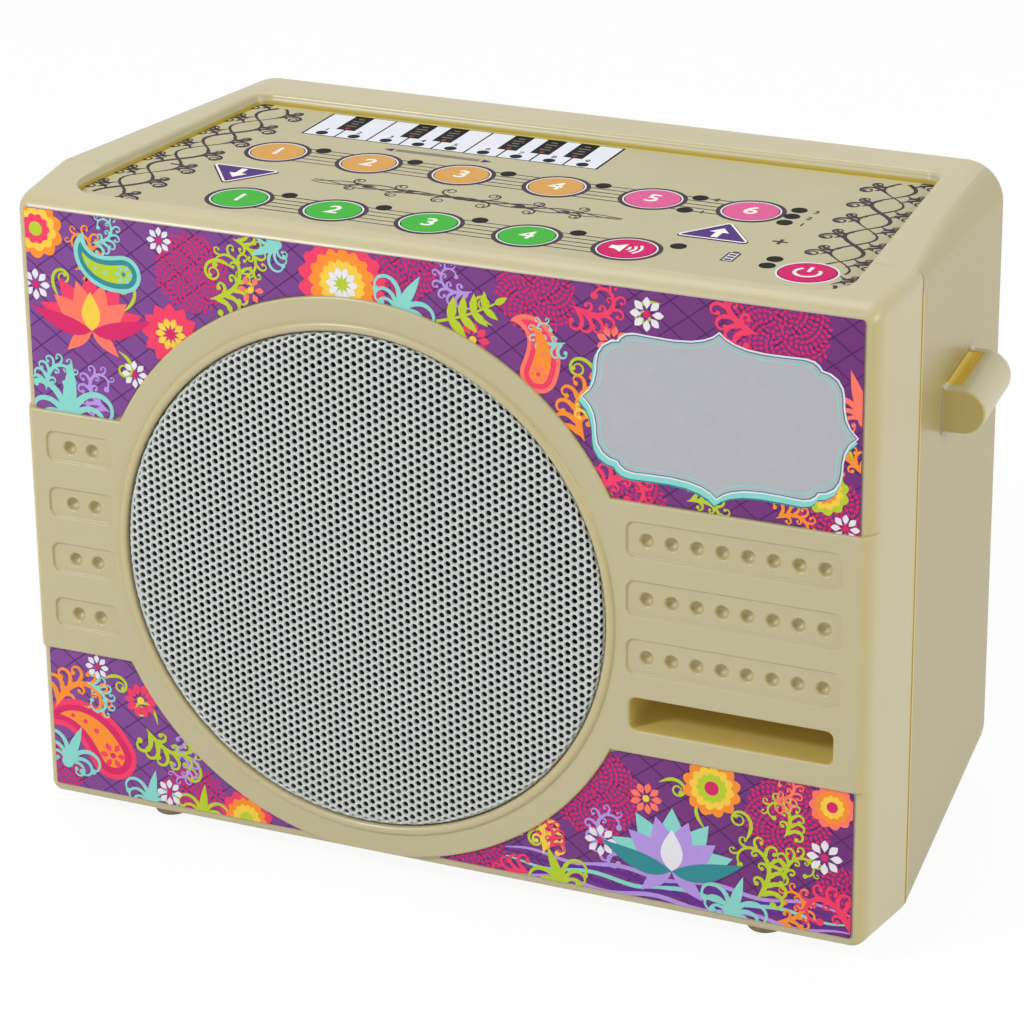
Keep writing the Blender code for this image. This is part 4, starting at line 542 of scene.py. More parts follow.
for side, name in ((-1, "left"), (1, "right")):
    near_end = [(-18.2 + 0.9 * (1 - cos(radians(t))), 0.9 * (1 - sin(radians(t)))) for t in (0, 30, 60, 90)]
    far_end = [(14.0 + 6.0 * sin(radians(t)), 6.0 * (1 - cos(radians(t)))) for t in range(0, 91, 15)]
    rings = [[on_side(side, along, out, z) for out, z in loop_section(inset)] for along, inset in near_end]
    for along, inset in far_end:
        section = [(out * (1 - inset / 10) if out > 0 else out, z) for out, z in loop_section(inset * 0.22)]
        rings.append([on_side(side, along, out, z) for out, z in section])
    loop = lofted(f"strap_loop_{name}_fine", rings)
    slot_outline = rounded(-14.2, 14.6, 0.2, 4.9, 0.8, 4)
    slot = [[on_side(side, along, out, z) for along, out in slot_outline] for z in (-9.0, 9.0)]
    shaped(loop, "DIFFERENCE", [lofted("slot", slot)])
    dressed(loop, ivory, 50)
    stands_for(loop, f"strap_loop_{name}")

# Speaker grille: thin steel sheet punched all over in staggered columns, its hole edges
# drawn in by the punch, pressed to a shallow dome with a rolled rim and painted pale grey.
PITCH = 2.5
COLUMN = PITCH * cos(radians(30))
GRILLE_FLAT = 73.9
GRILLE_ROLL = 2.0
points, faces, corner_of = [], [], {}


def on_sheet(x, z, behind):
    """A point of the flat sheet, behind its face by so much, after the rim is rolled."""
    away = (x * x + z * z) ** 0.5
    bend = min(max((away - GRILLE_FLAT) / GRILLE_ROLL, 0.0), pi / 2)
    radius = min(away, GRILLE_FLAT) + (GRILLE_ROLL - behind) * sin(bend)
    dome = 0.4 * (min(away, GRILLE_FLAT) / GRILLE_FLAT) ** 2
    skirt = max(away - GRILLE_FLAT - GRILLE_ROLL * pi / 2, 0.0)
    y = -70.0 + dome + GRILLE_ROLL - (GRILLE_ROLL - behind) * cos(bend) + skirt
    share = radius / away if away else 1.0
    return SPEAKER_X + x * share, y, SPEAKER_Z + z * share


for i in range(-37, 38):
    for j in range(-33, 34):
        x, z = i * COLUMN, (j + (i % 2) / 2) * PITCH
        if x * x + z * z > 78.4 ** 2:
            continue
        outer, lip, inner = [], [], []
        for k in range(6):
            turn = radians(60 * k)
            at = x + PITCH / 1.7320508 * cos(turn), z + PITCH / 1.7320508 * sin(turn)
            key = round(at[0], 2), round(at[1], 2)
            if key not in corner_of:
                corner_of[key] = len(points)
                points.append(on_sheet(*at, 0.0))
            outer.append(corner_of[key])
        for row, radius, behind in ((lip, 1.04, 0.03), (inner, 0.79, 0.6)):
            for k in range(12):
                turn = radians(30 * k)
                row.append(len(points))
                points.append(on_sheet(x + radius * cos(turn), z + radius * sin(turn), behind))
        for k in range(6):
            a, b, c = 2 * k, 2 * k + 1, (2 * k + 2) % 12
            faces.append((outer[k], outer[(k + 1) % 6], lip[c], lip[b], lip[a]))
        for k in range(12):
            faces.append((lip[k], lip[(k + 1) % 12], inner[(k + 1) % 12], inner[k]))
mesh = bpy.data.meshes.new("speaker_grille_sheet")
mesh.from_pydata([Vector(point) * 0.001 for point in points], [], faces)
grille = bpy.data.objects.new("speaker_grille_sheet", mesh)
bpy.context.scene.collection.objects.link(grille)
grille_paint = Paint("grille_enamel", roughness=0.38)
grille_paint.mottle((0.56, 0.585, 0.565), 0.05, 60.0)
grille_paint.grain(900.0, 0.05)
dressed(grille, grille_paint, 30)
stands_for(grille, "speaker_grille")

# Front labels: three labels of printed vinyl film on the front face, above and below the band.
# A violet ground with a lattice of fine lines carries flowers, paisleys, sprays and scrolls.
label_paint = Paint("label_ground", roughness=0.45, shine=0.2)
x, y, z = label_paint.axes(label_paint.place())
rising, falling = (x / 0.0104 + z / 0.0080).part(), (x / 0.0104 - z / 0.0080).part()
line = (abs(rising - 0.5) > 0.466) + (abs(falling - 0.5) > 0.466) > 0.5
ground = label_paint.blend(0.5 + x * 3.9, (0.225, 0.072, 0.300), (0.165, 0.030, 0.180))
mottled = label_paint.blend(label_paint.noise(900.0, 3.0) * 0.30, ground, (0.060, 0.010, 0.090))
label_paint.set("Base Color", label_paint.blend(line * 0.72, mottled, (0.040, 0.008, 0.070)))
label_paint.grain(700.0, 0.04)
for name in ("label_upper", "label_lower_left", "label_lower_right"):
    nodes[name].material_slots[0].material = label_paint.material


class Artwork:
    """Outlines printed on a face, gathered into one thin raised piece for each ink."""

    def __init__(self, face, limits=(-300.0, 300.0, -300.0, 300.0)):
        self.face = face
        self.limits = limits
        self.plates = {}
        self.count = 0
        self.bare = []

    def ink(self, paint, outline, level=0):
        """Prints an outline, trimmed at the edge of the sheet, unless it enters a round bare place."""
        for x, z, radius in self.bare:
            if any((a - x) ** 2 + (b - z) ** 2 < radius ** 2 for a, b in outline):
                return
        left, right, low, high = self.limits
        for axis, edge, way in ((0, left, 1), (0, right, -1), (1, low, 1), (1, high, -1)):
            kept = []
            for before, point in zip(outline[-1:] + outline[:-1], outline):
                if (way * (point[axis] - edge) >= 0) != (way * (before[axis] - edge) >= 0):
                    share = (edge - before[axis]) / (point[axis] - before[axis])
                    kept.append(tuple(p + share * (q - p) for p, q in zip(before, point)))
                if way * (point[axis] - edge) >= 0:
                    kept.append(point)
            outline = kept
        if len(outline) > 2:
            self.count += 1
            height = 0.02 + 0.022 * level + 0.0007 * (self.count % 31)
            self.plates.setdefault(paint, []).append((outline, height))

    def finish(self, name, body="case"):
        for paint, plates in self.plates.items():
            shape = bmesh.new()
            for outline, height in plates:
                front, back = [
                    [shape.verts.new(Vector(self.face(a, b, at)) * 0.001) for a, b in outline]
                    for at in (height, -0.02)
                ]
                shape.faces.new(front)
                shape.faces.new(back[::-1])
                for i in range(len(front)):
                    shape.faces.new((front[i - 1], back[i - 1], back[i], front[i]))
            bmesh.ops.dissolve_degenerate(shape, edges=shape.edges, dist=1e-7)
            piece = made_piece(f"{name}_{paint.material.name}", shape)
            piece.data.materials.append(paint.material)
            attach(piece, body)


def ink_paint(name, red, green, blue, shine=0.2):
    """A printing ink, given by its screen colour from 0 to 255."""
    paint = Paint(name, roughness=0.45, shine=shine)
    paint.mottle([(part / 255) ** 2.2 for part in (red, green, blue)], 0.05, 260.0)
    paint.grain(700.0, 0.04)
    return paint


def put(outline, x, z, turn=0.0, size=1.0, hand=1):
    """An outline drawn about the origin, put at its place; hand -1 is its mirror image."""
    a, b = size * cos(radians(turn)), size * sin(radians(turn))
    placed = [(x + p * a - hand * q * b, z + p * b + hand * q * a) for p, q in outline]
    return placed if hand == 1 else placed[::-1]


def petal(length, wide, lean=0.0, full=0.8):
    """A pointed petal along its axis, bent to one side by its lean."""
    shares = [i / 9 for i in range(1, 9)]
    lower = [(length * t, lean * length * t * t - wide / 2 * sin(pi * t ** full)) for t in shares]
    upper = [(length * t, lean * length * t * t + wide / 2 * sin(pi * t ** full)) for t in shares[::-1]]
    return [(0.0, 0.0)] + lower + [(length, lean * length)] + upper


def disc(radius, steps=24, lobes=0, depth=0.16):
    """A round spot, with a scalloped edge where it has lobes."""
    turns = [2 * pi * i / steps for i in range(steps)]
    reach = [radius * (1 - depth + depth * abs(sin(lobes * t / 2))) if lobes else radius for t in turns]
    return [(r * cos(t), r * sin(t)) for r, t in zip(reach, turns)]


def curl(length, winds, steps=26):
    """The middle line of a scroll, which starts straight and winds in ever tighter."""
    line = [(0.0, 0.0)]
    for i in range(steps):
        turn = 2 * pi * winds * ((i + 0.5) / steps) ** 2
        line.append((line[-1][0] + length / steps * cos(turn), line[-1][1] + length / steps * sin(turn)))
    return line


def ribbon(line, widths):
    """The outline of a drawn line of changing width."""
    right, left = [], []
    for i, (x, z) in enumerate(line):
        before, after = line[max(i - 1, 0)], line[min(i + 1, len(line) - 1)]
        along = Vector((after[0] - before[0], after[1] - before[1])).normalized() * widths[i] / 2
        right.append((x + along.y, z - along.x))
        left.append((x - along.y, z + along.x))
    return right + left[::-1]


def scroll(art, paint, x, z, turn, length, wide, hand=1, winds=1.1, level=1):
    """A tapering scroll with a ball at its inner end."""
    line = curl(length, winds)
    widths = [wide * (1 - 0.7 * i / 26) * min(1.0, 0.12 + i / 5) for i in range(27)]
    art.ink(paint, put(ribbon(line, widths), x, z, turn, 1.0, hand), level)
    art.ink(paint, put(disc(wide * 0.5, 14), *put(line[-1:], x, z, turn, 1.0, hand)[0]), level)


def spray(art, paint, x, z, turn, length, leaves, size, bend=0.3, level=1):
    """A bent stalk with pairs of leaves and one at its tip."""
    line = [(length * i / 12, bend * length * (i / 12) ** 2) for i in range(13)]
    art.ink(paint, put(ribbon(line, [0.9 - 0.03 * i for i in range(13)]), x, z, turn), level)
    for i in range(leaves + 1):
        share = (i + 1) / (leaves + 1)
        lean = degrees(atan2(2 * bend * share, 1))
        at = put([(length * share, bend * length * share * share)], x, z, turn)[0]
        big = size * (1.1 - 0.45 * share)
        for way in ((-1, 1) if i < leaves else (0,)):
            art.ink(paint, put(petal(big, big * 0.42, 0.22 * way), *at, turn + lean + 46 * way), level)


def lotus(art, paints, x, z, size, level=1):
    """A lotus seen from the side, in three rows of petals."""
    for row, reach, wide, turns in (
        (0, 1.0, 0.44, (22, 56, 90, 124, 158)),
        (1, 0.86, 0.40, (39, 73, 107, 141)),
        (2, 0.66, 0.34, (90,)),
    ):
        for turn in turns:
            art.ink(paints[row], put(petal(size * reach, size * wide), x, z, turn), level + row)
    for hand in (-1, 1):
        long, short = petal(size * 1.1, size * 0.3, 0.28), petal(size * 0.6, size * 0.24, -0.2)
        art.ink(paints[3], put(long, x, z, 90 - 90 * hand, 1.0, hand), level + 3)
        art.ink(paints[1], put(short, x, z, 90 - 118 * hand, 1.0, hand), level + 2)


def blossom(art, paints, x, z, radius, level=1, lobes=10):
    """An open flower of scalloped rings, one inside another."""
    for i, share in enumerate((1.0, 0.76, 0.52, 0.24)):
        art.ink(paints[i], put(disc(radius * share, 60, lobes if i < 3 else 0), x, z, 9 * i), level + i)


def star_flower(art, paint, heart, x, z, radius, level=3, count=8):
    """A small flower of separate petals round a spot."""
    for i in range(count):
        turn = 360 * i / count
        at = put([(radius * 0.3, 0.0)], x, z, turn)[0]
        art.ink(paint, put(petal(radius * 0.7, radius * 0.42, 0.0, 1.2), *at, turn), level)
    art.ink(heart, put(disc(radius * 0.22, 12), x, z), level)


def acanthus(art, paint, x, z, turn, length, wide, hand=1, winds=0.8, level=1):
    """A leafy scroll, with bent leaves along its outer side and a few inside."""
    scroll(art, paint, x, z, turn, length, wide * 0.55, hand, winds, level)
    line = curl(length, winds)
    for i in (1, 4, 7, 10, 13, 16, 19, 22):
        heading = degrees(2 * pi * winds * (i / 26) ** 2)
        size = length * (0.40 - 0.011 * i)
        at = put([line[i]], x, z, turn, 1.0, hand)[0]
        outer, inner = turn + hand * (heading - 24), turn + hand * (heading + 30)
        scroll(art, paint, *at, outer, size * 1.2, size * 0.18, -hand, 0.74, level)
        if i in (4, 10, 16):
            scroll(art, paint, *at, inner, size * 0.7, size * 0.15, hand, 0.72, level)


def palmette(art, paint, x, z, turn, length, level=1):
    """A fan of bent leaves that curl outward from one foot."""
    for i in (-3, -2, -1, 1, 2, 3):
        reach = length * (1.06 - 0.15 * abs(i))
        way = 1 if i > 0 else -1
        scroll(art, paint, x, z, turn + 19 * i, reach * 1.2, reach * 0.125, way, 0.48 + 0.14 * abs(i), level)
    art.ink(paint, put(petal(length * 0.8, length * 0.19), x, z, turn), level)
    art.ink(paint, put(disc(length * 0.12, 16), x, z), level)


def roundel(art, paint, x, z, radius, level=0):
    """A round filled with small drops, turned this way and that."""
    for i in range(int((radius / 0.86) ** 2)):
        turn, reach = 137.5 * i, 0.86 * i ** 0.5
        at = put([(reach, 0.0)], x, z, turn)[0]
        drop = [(-0.85, 0.0), (-0.1, -0.55), (1.0, 0.0), (-0.1, 0.55)]
        art.ink(paint, put(drop, *at, turn + (62, -40, 10)[i % 3]), level)


def paisley(art, paints, x, z, turn, size, hand=1, level=1):
    """A paisley drop with a border, a filling and a small flower in its round end."""
    line = curl(size * 1.5, 0.40)
    heart = put(line[5:6], x, z, turn, 1.0, hand)[0]
    for row, share in enumerate((1.0, 0.78, 0.50)):
        wide, last = 0.62 * share * size, 26 - 3 * row
        widths = [wide * cos(pi / 2 * (i - 5) / (last - 5)) ** 0.8 for i in range(5, last)] + [0.1]
        art.ink(paints[row], put(disc(wide / 2, 40), *heart), level + row)
        art.ink(paints[row], put(ribbon(line[5:last + 1], widths), x, z, turn, 1.0, hand), level + row)
    star_flower(art, paints[0], paints[1], *heart, size * 0.17, level + 3, 6)
    for i in (11, 14, 17):
        at = put(line[i:i + 1], x, z, turn, 1.0, hand)[0]
        art.ink(paints[0], put(disc(size * (0.045 - 0.001 * i), 10), *at), level + 3)


pink = ink_paint("pink", 232, 62, 98)
rose = ink_paint("rose", 206, 40, 98)
coral = ink_paint("coral", 244, 116, 96)
orange = ink_paint("orange", 240, 138, 50)
yellow = ink_paint("yellow", 236, 196, 70)
lime = ink_paint("lime", 176, 196, 48)
aqua = ink_paint("aqua", 132, 204, 194)
teal = ink_paint("teal", 52, 132, 140)
lavender = ink_paint("lavender", 172, 142, 214)
violet = ink_paint("violet", 96, 44, 140)
dark_violet = ink_paint("dark_violet", 62, 22, 82)
white = ink_paint("white", 222, 220, 226)

upper = Artwork(lambda a, b, high: (a, -67.5 - high, SPEAKER_Z + b), (-128.1, 128.1, 38.0, 100.1))
for x, z, radius in ((-74, 87, 12), (-6, 98, 10), (33, 95, 12), (105, 95, 14), (62, 38, 10), (122, 42, 11)):
    roundel(upper, rose, x, z, radius)
for x, z, turn, length, hand in (
    (-97.0, 72.0, 40, 26.0, 1),
    (-118.0, 74.0, 120, 22.0, -1),
    (-99.0, 60.0, -30, 20.0, -1),
    (-60.0, 90.0, 150, 24.0, 1),
    (20.0, 84.0, 160, 22.0, -1),
    (52.0, 72.0, 110, 24.0, 1),
    (126.0, 58.0, 100, 22.0, 1),
    (70.0, 97.0, 176, 22.0, 1),
):
    scroll(upper, lime, x, z, turn, length, 1.3, hand, 1.45, 1)
lotus(upper, (pink, coral, yellow, rose), -107.5, 65.0, 18.0, 2)
palmette(upper, aqua, -117.0, 36.0, 84, 24.0, 2)
acanthus(upper, aqua, -124.0, 44.5, 84, 20.0, 3.0, -1, 0.75, 2)
acanthus(upper, lavender, -103.0, 40.5, 150, 22.0, 3.2, -1, 0.8, 1)
blossom(upper, (orange, yellow, pink, lime), -124.5, 94.0, 9.0, 2)
paisley(upper, (aqua, teal, lime), -91.0, 85.0, 196, 18.0, -1, 3)
acanthus(upper, orange, -112.0, 83.0, 34, 22.0, 3.0, 1, 0.85, 2)
star_flower(upper, white, rose, -125.5, 77.0, 4.8)
star_flower(upper, pink, rose, -81.5, 67.5, 9.5, 2, 12)
star_flower(upper, yellow, rose, -81.5, 67.5, 5.0, 3, 10)
acanthus(upper, aqua, -106.0, 92.0, 10, 17.0, 2.2, 1, 0.8, 2)
star_flower(upper, coral, yellow, -55.0, 84.5, 4.2, 3, 6)
star_flower(upper, pink, yellow, 14.0, 79.0, 5.2, 2, 9)
star_flower(upper, coral, yellow, 56.0, 84.0, 5.0, 2, 9)
star_flower(upper, white, rose, -94.0, 53.5, 4.2)
star_flower(upper, white, rose, -84.0, 95.5, 4.0)
acanthus(upper, lime, -68.0, 80.0, 20, 27.0, 3.2, 1, 0.7, 2)
acanthus(upper, lime, -60.0, 99.0, -20, 20.0, 2.4, -1, 0.75, 2)
palmette(upper, aqua, -46.0, 99.0, 206, 12.0, 3)
blossom(upper, (pink, orange, yellow, lime), -26.0, 90.0, 14.0, 1, 16)
star_flower(upper, white, lime, -26.0, 90.0, 5.0, 6, 10)
palmette(upper, aqua, -9.0, 84.0, 58, 17.0, 3)
acanthus(upper, lavender, 14.0, 93.0, 196, 19.0, 2.4, -1, 0.8, 2)
spray(upper, lime, 3.0, 83.0, 14, 19.0, 4, 7.0, 0.15, 3)
paisley(upper, (coral, pink, orange), 31.5, 67.0, 62, 18.0, 1, 2)
acanthus(upper, orange, 47.5, 54.0, 112, 30.0, 4.4, -1, 0.7, 2)
acanthus(upper, yellow, 49.0, 60.0, 96, 17.0, 2.2, -1, 0.8, 3)
acanthus(upper, pink, 44.0, 93.0, -24, 24.0, 4.0, 1, 0.8, 2)
star_flower(upper, white, rose, 66.0, 93.5, 5.0, 4)
star_flower(upper, white, rose, 124.0, 40.0, 4.2)
acanthus(upper, pink, 98.0, 92.0, 158, 27.0, 4.0, -1, 0.75, 3)
acanthus(upper, aqua, 42.0, 82.0, 200, 17.0, 2.2, -1, 0.8, 3)
palmette(upper, coral, 129.0, 72.0, 108, 18.0, 2)
blossom(upper, (lime, yellow, orange, rose), 118.0, 50.0, 7.0, 2, 11)
acanthus(upper, orange, 129.0, 56.0, 128, 20.0, 3.2, 1, 0.8, 3)
acanthus(upper, pink, 52.0, 40.0, 48, 24.0, 4.2, -1, 0.75, 2)
acanthus(upper, lime, 78.0, 41.0, 12, 20.0, 2.6, -1, 0.8, 2)
acanthus(upper, orange, 104.0, 40.0, 26, 18.0, 2.6, -1, 0.8, 2)

# The bare plaque on the upper label: a pearl panel with a drawn border, like a picture's mount.
quarter = [(39.4, 0.0), (37.2, 2.2), (36.0, 4.6), (35.4, 7.6), (35.3, 10.4), (34.8, 13.0), (33.4, 15.2)]
quarter += [(31.2, 16.6), (28.9, 17.1), (28.2, 18.2), (26.8, 19.2), (24.4, 19.7), (19.0, 19.5), (13.0, 19.4)]
quarter += [(8.0, 19.8), (4.4, 20.7), (1.8, 21.9), (0.0, 23.4)]
half_round = quarter + [(-a, b) for a, b in quarter[-2::-1]]
plaque = half_round + [(a, -b) for a, b in half_round[-2:0:-1]]
pearl = ink_paint("pearl", 172, 172, 179)
plaque_edges = ((teal, 1.2, 1.9, 5), (aqua, 1.2, 1.4, 6), (white, 1.0, 0, 7), (teal, 0.5, 0, 8))
for paint, spread, drop, level in plaque_edges:
    grown = [(a * (1 + spread / 39.4), b * (1 + spread / 22.4)) for a, b in plaque]
    upper.ink(paint, put(grown, 86.9 - 0.4 * drop, 66.9 - drop, -0.5), level)
for paint, spread, level in ((pearl, 0.1, 9), (aqua, -1.0, 10), (pearl, -1.35, 11)):
    grown = [(a * (1 + spread / 39.4), b * (1 + spread / 22.4)) for a, b in plaque]
    upper.ink(paint, put(grown, 86.9, 66.9, -0.5), level)
upper.finish("label_upper")

lower = Artwork(lambda a, b, high: (a, -67.5 - high, SPEAKER_Z + b), (-128.1, 128.1, -83.9, -38.0))
lower_roundels = ((-80, -82, 12), (-128, -80, 9), (50, -53, 14), (109, -50, 13), (12, -80, 10), (126, -70, 8))
for x, z, radius in lower_roundels:
    roundel(lower, rose, x, z, radius)
for x, z, turn, length, hand in (
    (-92.0, -58.0, 100, 22.0, 1),
    (-84.0, -66.0, -20, 24.0, -1),
    (-110.0, -46.0, 30, 20.0, -1),
    (96.0, -60.0, 60, 24.0, 1),
    (84.0, -58.0, 130, 22.0, -1),
    (38.0, -70.0, 150, 22.0, 1),
    (70.0, -46.0, 30, 20.0, -1),
):
    scroll(lower, lime, x, z, turn, length, 1.3, hand, 1.45, 1)
paisley(lower, (pink, rose, orange), -105.0, -78.0, 112, 26.0, 1, 2)
acanthus(lower, orange, -127.0, -58.0, 62, 30.0, 4.4, -1, 0.75, 2)
palmette(lower, aqua, -124.0, -76.0, 66, 17.0, 3)
palmette(lower, aqua, -96.0, -85.0, 78, 15.0, 4)
acanthus(lower, lime, -96.0, -60.0, -50, 28.0, 3.2, 1, 0.7, 3)
palmette(lower, lime, -78.0, -86.0, 84, 14.0, 3)
star_flower(lower, white, rose, -89.0, -80.0, 4.4, 4)
star_flower(lower, pink, yellow, -97.5, -51.0, 5.6, 2, 10)
acanthus(lower, aqua, -116.0, -48.0, -20, 19.0, 2.6, -1, 0.8, 2)
acanthus(lower, lime, 108.0, -56.0, 66, 20.0, 2.6, 1, 0.8, 2)
star_flower(lower, coral, yellow, 66.0, -52.0, 5.0, 2, 9)
acanthus(lower, coral, 104.0, -45.0, 10, 17.0, 2.4, 1, 0.8, 2)
star_flower(lower, white, rose, -112.0, -42.5, 4.0)
blossom(lower, (pink, orange, yellow, lime), -63.0, -83.5, 9.0, 2, 14)
acanthus(lower, lavender, -88.0, -64.0, -26, 20.0, 2.4, -1, 0.8, 2)
for row in range(5):
    wave = [(22.0 + 106.0 * i / 60, -76.0 - 1.8 * row + 0.9 * sin(i / 2.6 + row)) for i in range(61)]
    paint = (lavender, violet, aqua, violet, lavender)[row]
    lower.ink(paint, ribbon(wave, [1.4 * sin(pi * (i + 0.5) / 61) ** 0.4 for i in range(61)]), 1)
acanthus(lower, lavender, 60.0, -71.0, 164, 24.0, 3.4, -1, 0.75, 2)
lotus(lower, (aqua, lavender, white, teal), 74.0, -73.5, 20.0, 3)
blossom(lower, (orange, yellow, lime, rose), 86.0, -45.0, 9.0, 2, 12)
palmette(lower, aqua, 92.0, -84.0, 74, 17.0, 4)
acanthus(lower, lime, 100.0, -77.0, 58, 28.0, 3.4, 1, 0.7, 3)
acanthus(lower, lime, 108.0, -70.0, 84, 20.0, 2.6, -1, 0.75, 3)
star_flower(lower, white, rose, 120.0, -60.0, 5.4, 4)
star_flower(lower, white, rose, 52.0, -68.0, 5.0, 4)
acanthus(lower, pink, 128.0, -82.0, 112, 26.0, 4.4, 1, 0.75, 4)
acanthus(lower, orange, 106.0, -83.0, 16, 22.0, 3.0, 1, 0.8, 3)
acanthus(lower, yellow, 34.0, -76.0, 84, 26.0, 3.8, 1, 0.75, 2)
acanthus(lower, pink, 36.0, -74.0, 70, 17.0, 2.4, 1, 0.8, 3)
palmette(lower, lime, 40.0, -85.0, 112, 16.0, 3)
acanthus(lower, pink, 30.0, -83.0, 176, 22.0, 3.0, 1, 0.8, 3)
blossom(lower, (coral, orange, yellow, rose), 122.0, -44.0, 7.0, 2, 11)
lower.finish("label_lower")

# Keypad overlay: a printed polyester sheet lying in the recess, with a round or triangular hole
# for each key. It is cream, with painted golden shade and reflection from the recess wall along its back and
# left edges.
OVERLAY_TOP = 195.6
UP_KEY = (67.8, -17.7)
DOWN_KEY = (-82.8, -22.2)
rear_keys = [(-82.0 + 30.2 * i, 2.7) for i in range(6)]
front_keys = [(-71.5 + 30.2 * i, -41.6) for i in range(5)]
power_key = (102.5, -41.9)


def triangle(place, way, grow=0.0):
    """A triangle with rounded corners; way is 1 where its tip points to the back."""
    half, rise, radius = 9.1, 6.3, 1.2 + grow
    lean = degrees(atan2(half, 2 * rise))
    points = arc((half, -rise), radius, -90, lean, 5) + arc((0, rise), radius, lean, 180 - lean, 5)
    points += arc((-half, -rise), radius, 180 - lean, 270, 5)
    placed = [(place[0] + a, place[1] + way * b) for a, b in points]
    return placed if way == 1 else placed[::-1]


overlay = lofted("keypad_overlay_sheet", [recess(1.2, 195.1), recess(1.2, OVERLAY_TOP)])
holes = []
for place in rear_keys + front_keys + [power_key]:
    holes.append(turned("hole", [(0, 190.0), (8.3, 190.0), (8.3, 200.0), (0, 200.0)], 48, place, "Z"))
for place, way in ((UP_KEY, 1), (DOWN_KEY, -1)):
    outline = triangle(place, way, 0.3)
    holes.append(lofted("hole", [[(a, b, z) for a, b in outline] for z in (190.0, 200.0)]))
shaped(overlay, "DIFFERENCE", holes)
overlay_paint = Paint("overlay_film", roughness=0.5, shine=0.12)
x, y, z = overlay_paint.axes(overlay_paint.place())
# Painted golden shade and reflection of the recess wall along the sheet's left and back edges.
painted_shade_left = (x + 0.1181 - (y + 0.0492) * 0.086 < 0.0010) * (y > -0.054)
painted_shade_and_reflection = painted_shade_left + (y > 0.0451) > 0.5
cream = overlay_paint.blend(overlay_paint.noise(60.0, 3.0), (0.450, 0.415, 0.266), (0.494, 0.458, 0.296))
overlay_paint.set("Base Color", overlay_paint.blend(painted_shade_and_reflection * 0.8, cream, (0.56, 0.43, 0.05)))
overlay_paint.grain(1800.0, 0.06)
dressed(overlay, overlay_paint, 30)
stands_for(overlay, "keypad_overlay")

# Prints on the overlay: a double ring round each key, five fine lines through each row, a dark
# spot for each lamp, a little keyboard for the scale, and scrollwork at both ends.
print_white = ink_paint("print_white", 222, 225, 234, 0.04)
print_brown = ink_paint("print_brown", 66, 55, 62, 0.04)
print_black = ink_paint("print_black", 16, 14, 18, 0.04)
print_grey = ink_paint("print_grey", 128, 124, 112, 0.04)
print_red = ink_paint("print_red", 150, 52, 58, 0.04)
print_violet = ink_paint("print_violet", 92, 30, 110, 0.04)
keypad = Artwork(lambda a, b, high: (a, b, OVERLAY_TOP + high), (-121.0, 121.0, -58.0, 45.6))


def half_rings(art, paint, place, inner, outer, level):
    """A printed ring, as two halves."""
    for start in (0, 180):
        outline = arc(place, outer, start, start + 180, 24) + arc(place, inner, start + 180, start, 24)
        art.ink(paint, outline, level)


def bar(art, paint, x0, x1, y0, y1, level=0):
    art.ink(paint, [(x0, y0), (x1, y0), (x1, y1), (x0, y1)], level)


for row in (rear_keys, front_keys):
    for place, after in zip(row, row[1:]):
        for i in range(-2, 3):
            reach = (9.6 ** 2 - (3.1 * i) ** 2) ** 0.5
            y = place[1] + 3.1 * i
            bar(keypad, print_brown, place[0] + reach, after[0] - reach, y - 0.26, y + 0.26)
for place in rear_keys + front_keys:
    half_rings(keypad, print_white, place, 8.33, 8.78, 2)
    half_rings(keypad, print_brown, place, 8.75, 10.1, 1)
half_rings(keypad, print_white, power_key, 8.33, 8.9, 2)
lamps = [(x + 12.3, y + 6.0) for x, y in rear_keys]
lamps += [(x + 12.3, y - 6.0) for x, y in rear_keys[4:]] + [(rear_keys[5][0] + 12.3, rear_keys[5][1])]
lamps += [(x + 12.3, y + 7.6) for x, y in front_keys]
lamps += [(power_key[0] - 12.3, power_key[1] + 7.6 - 5.9 * i) for i in range(2)]
for lamp in lamps:
    keypad.ink(print_black, put(disc(2.35, 28), *lamp), 3)

bar(keypad, print_black, -84.4, 12.9, 22.5, 44.7)
for i in range(9):
    x0 = -84.0 + 10.722 * i
    bar(keypad, print_white, x0 + 0.3, x0 + 10.42, 22.9, 44.3, 1)
    keypad.ink(print_black, put(disc(1.9, 20), x0 + 5.36, 25.2), 2)
for i in (1, 3, 4, 6, 7, 8):
    middle = -84.0 + 10.722 * i
    bar(keypad, print_black, middle - 3.1, middle + 3.1, 30.2, 44.3, 2)
    for low, half in ((34.2, 1.7), (36.6, 1.2), (39.0, 1.8), (41.4, 1.0)):
        bar(keypad, print_grey, middle - half, middle + half, low, low + 0.6, 3)
    keypad.ink(print_red, put(disc(0.8, 16), middle, 32.0), 3)
bar(keypad, print_grey, -50.0, -22.6, 16.4, 18.7)
for x, way in ((-52.4, 180), (-20.2, 0)):
    keypad.ink(print_violet, put([(-1.6, -1.5), (1.6, 0.0), (-1.6, 1.5)], x, 17.5, way))


def overlay_edge(y):
    """How far out the overlay reaches at each side."""
    return 118.1 - (y + 49.2) * 0.086


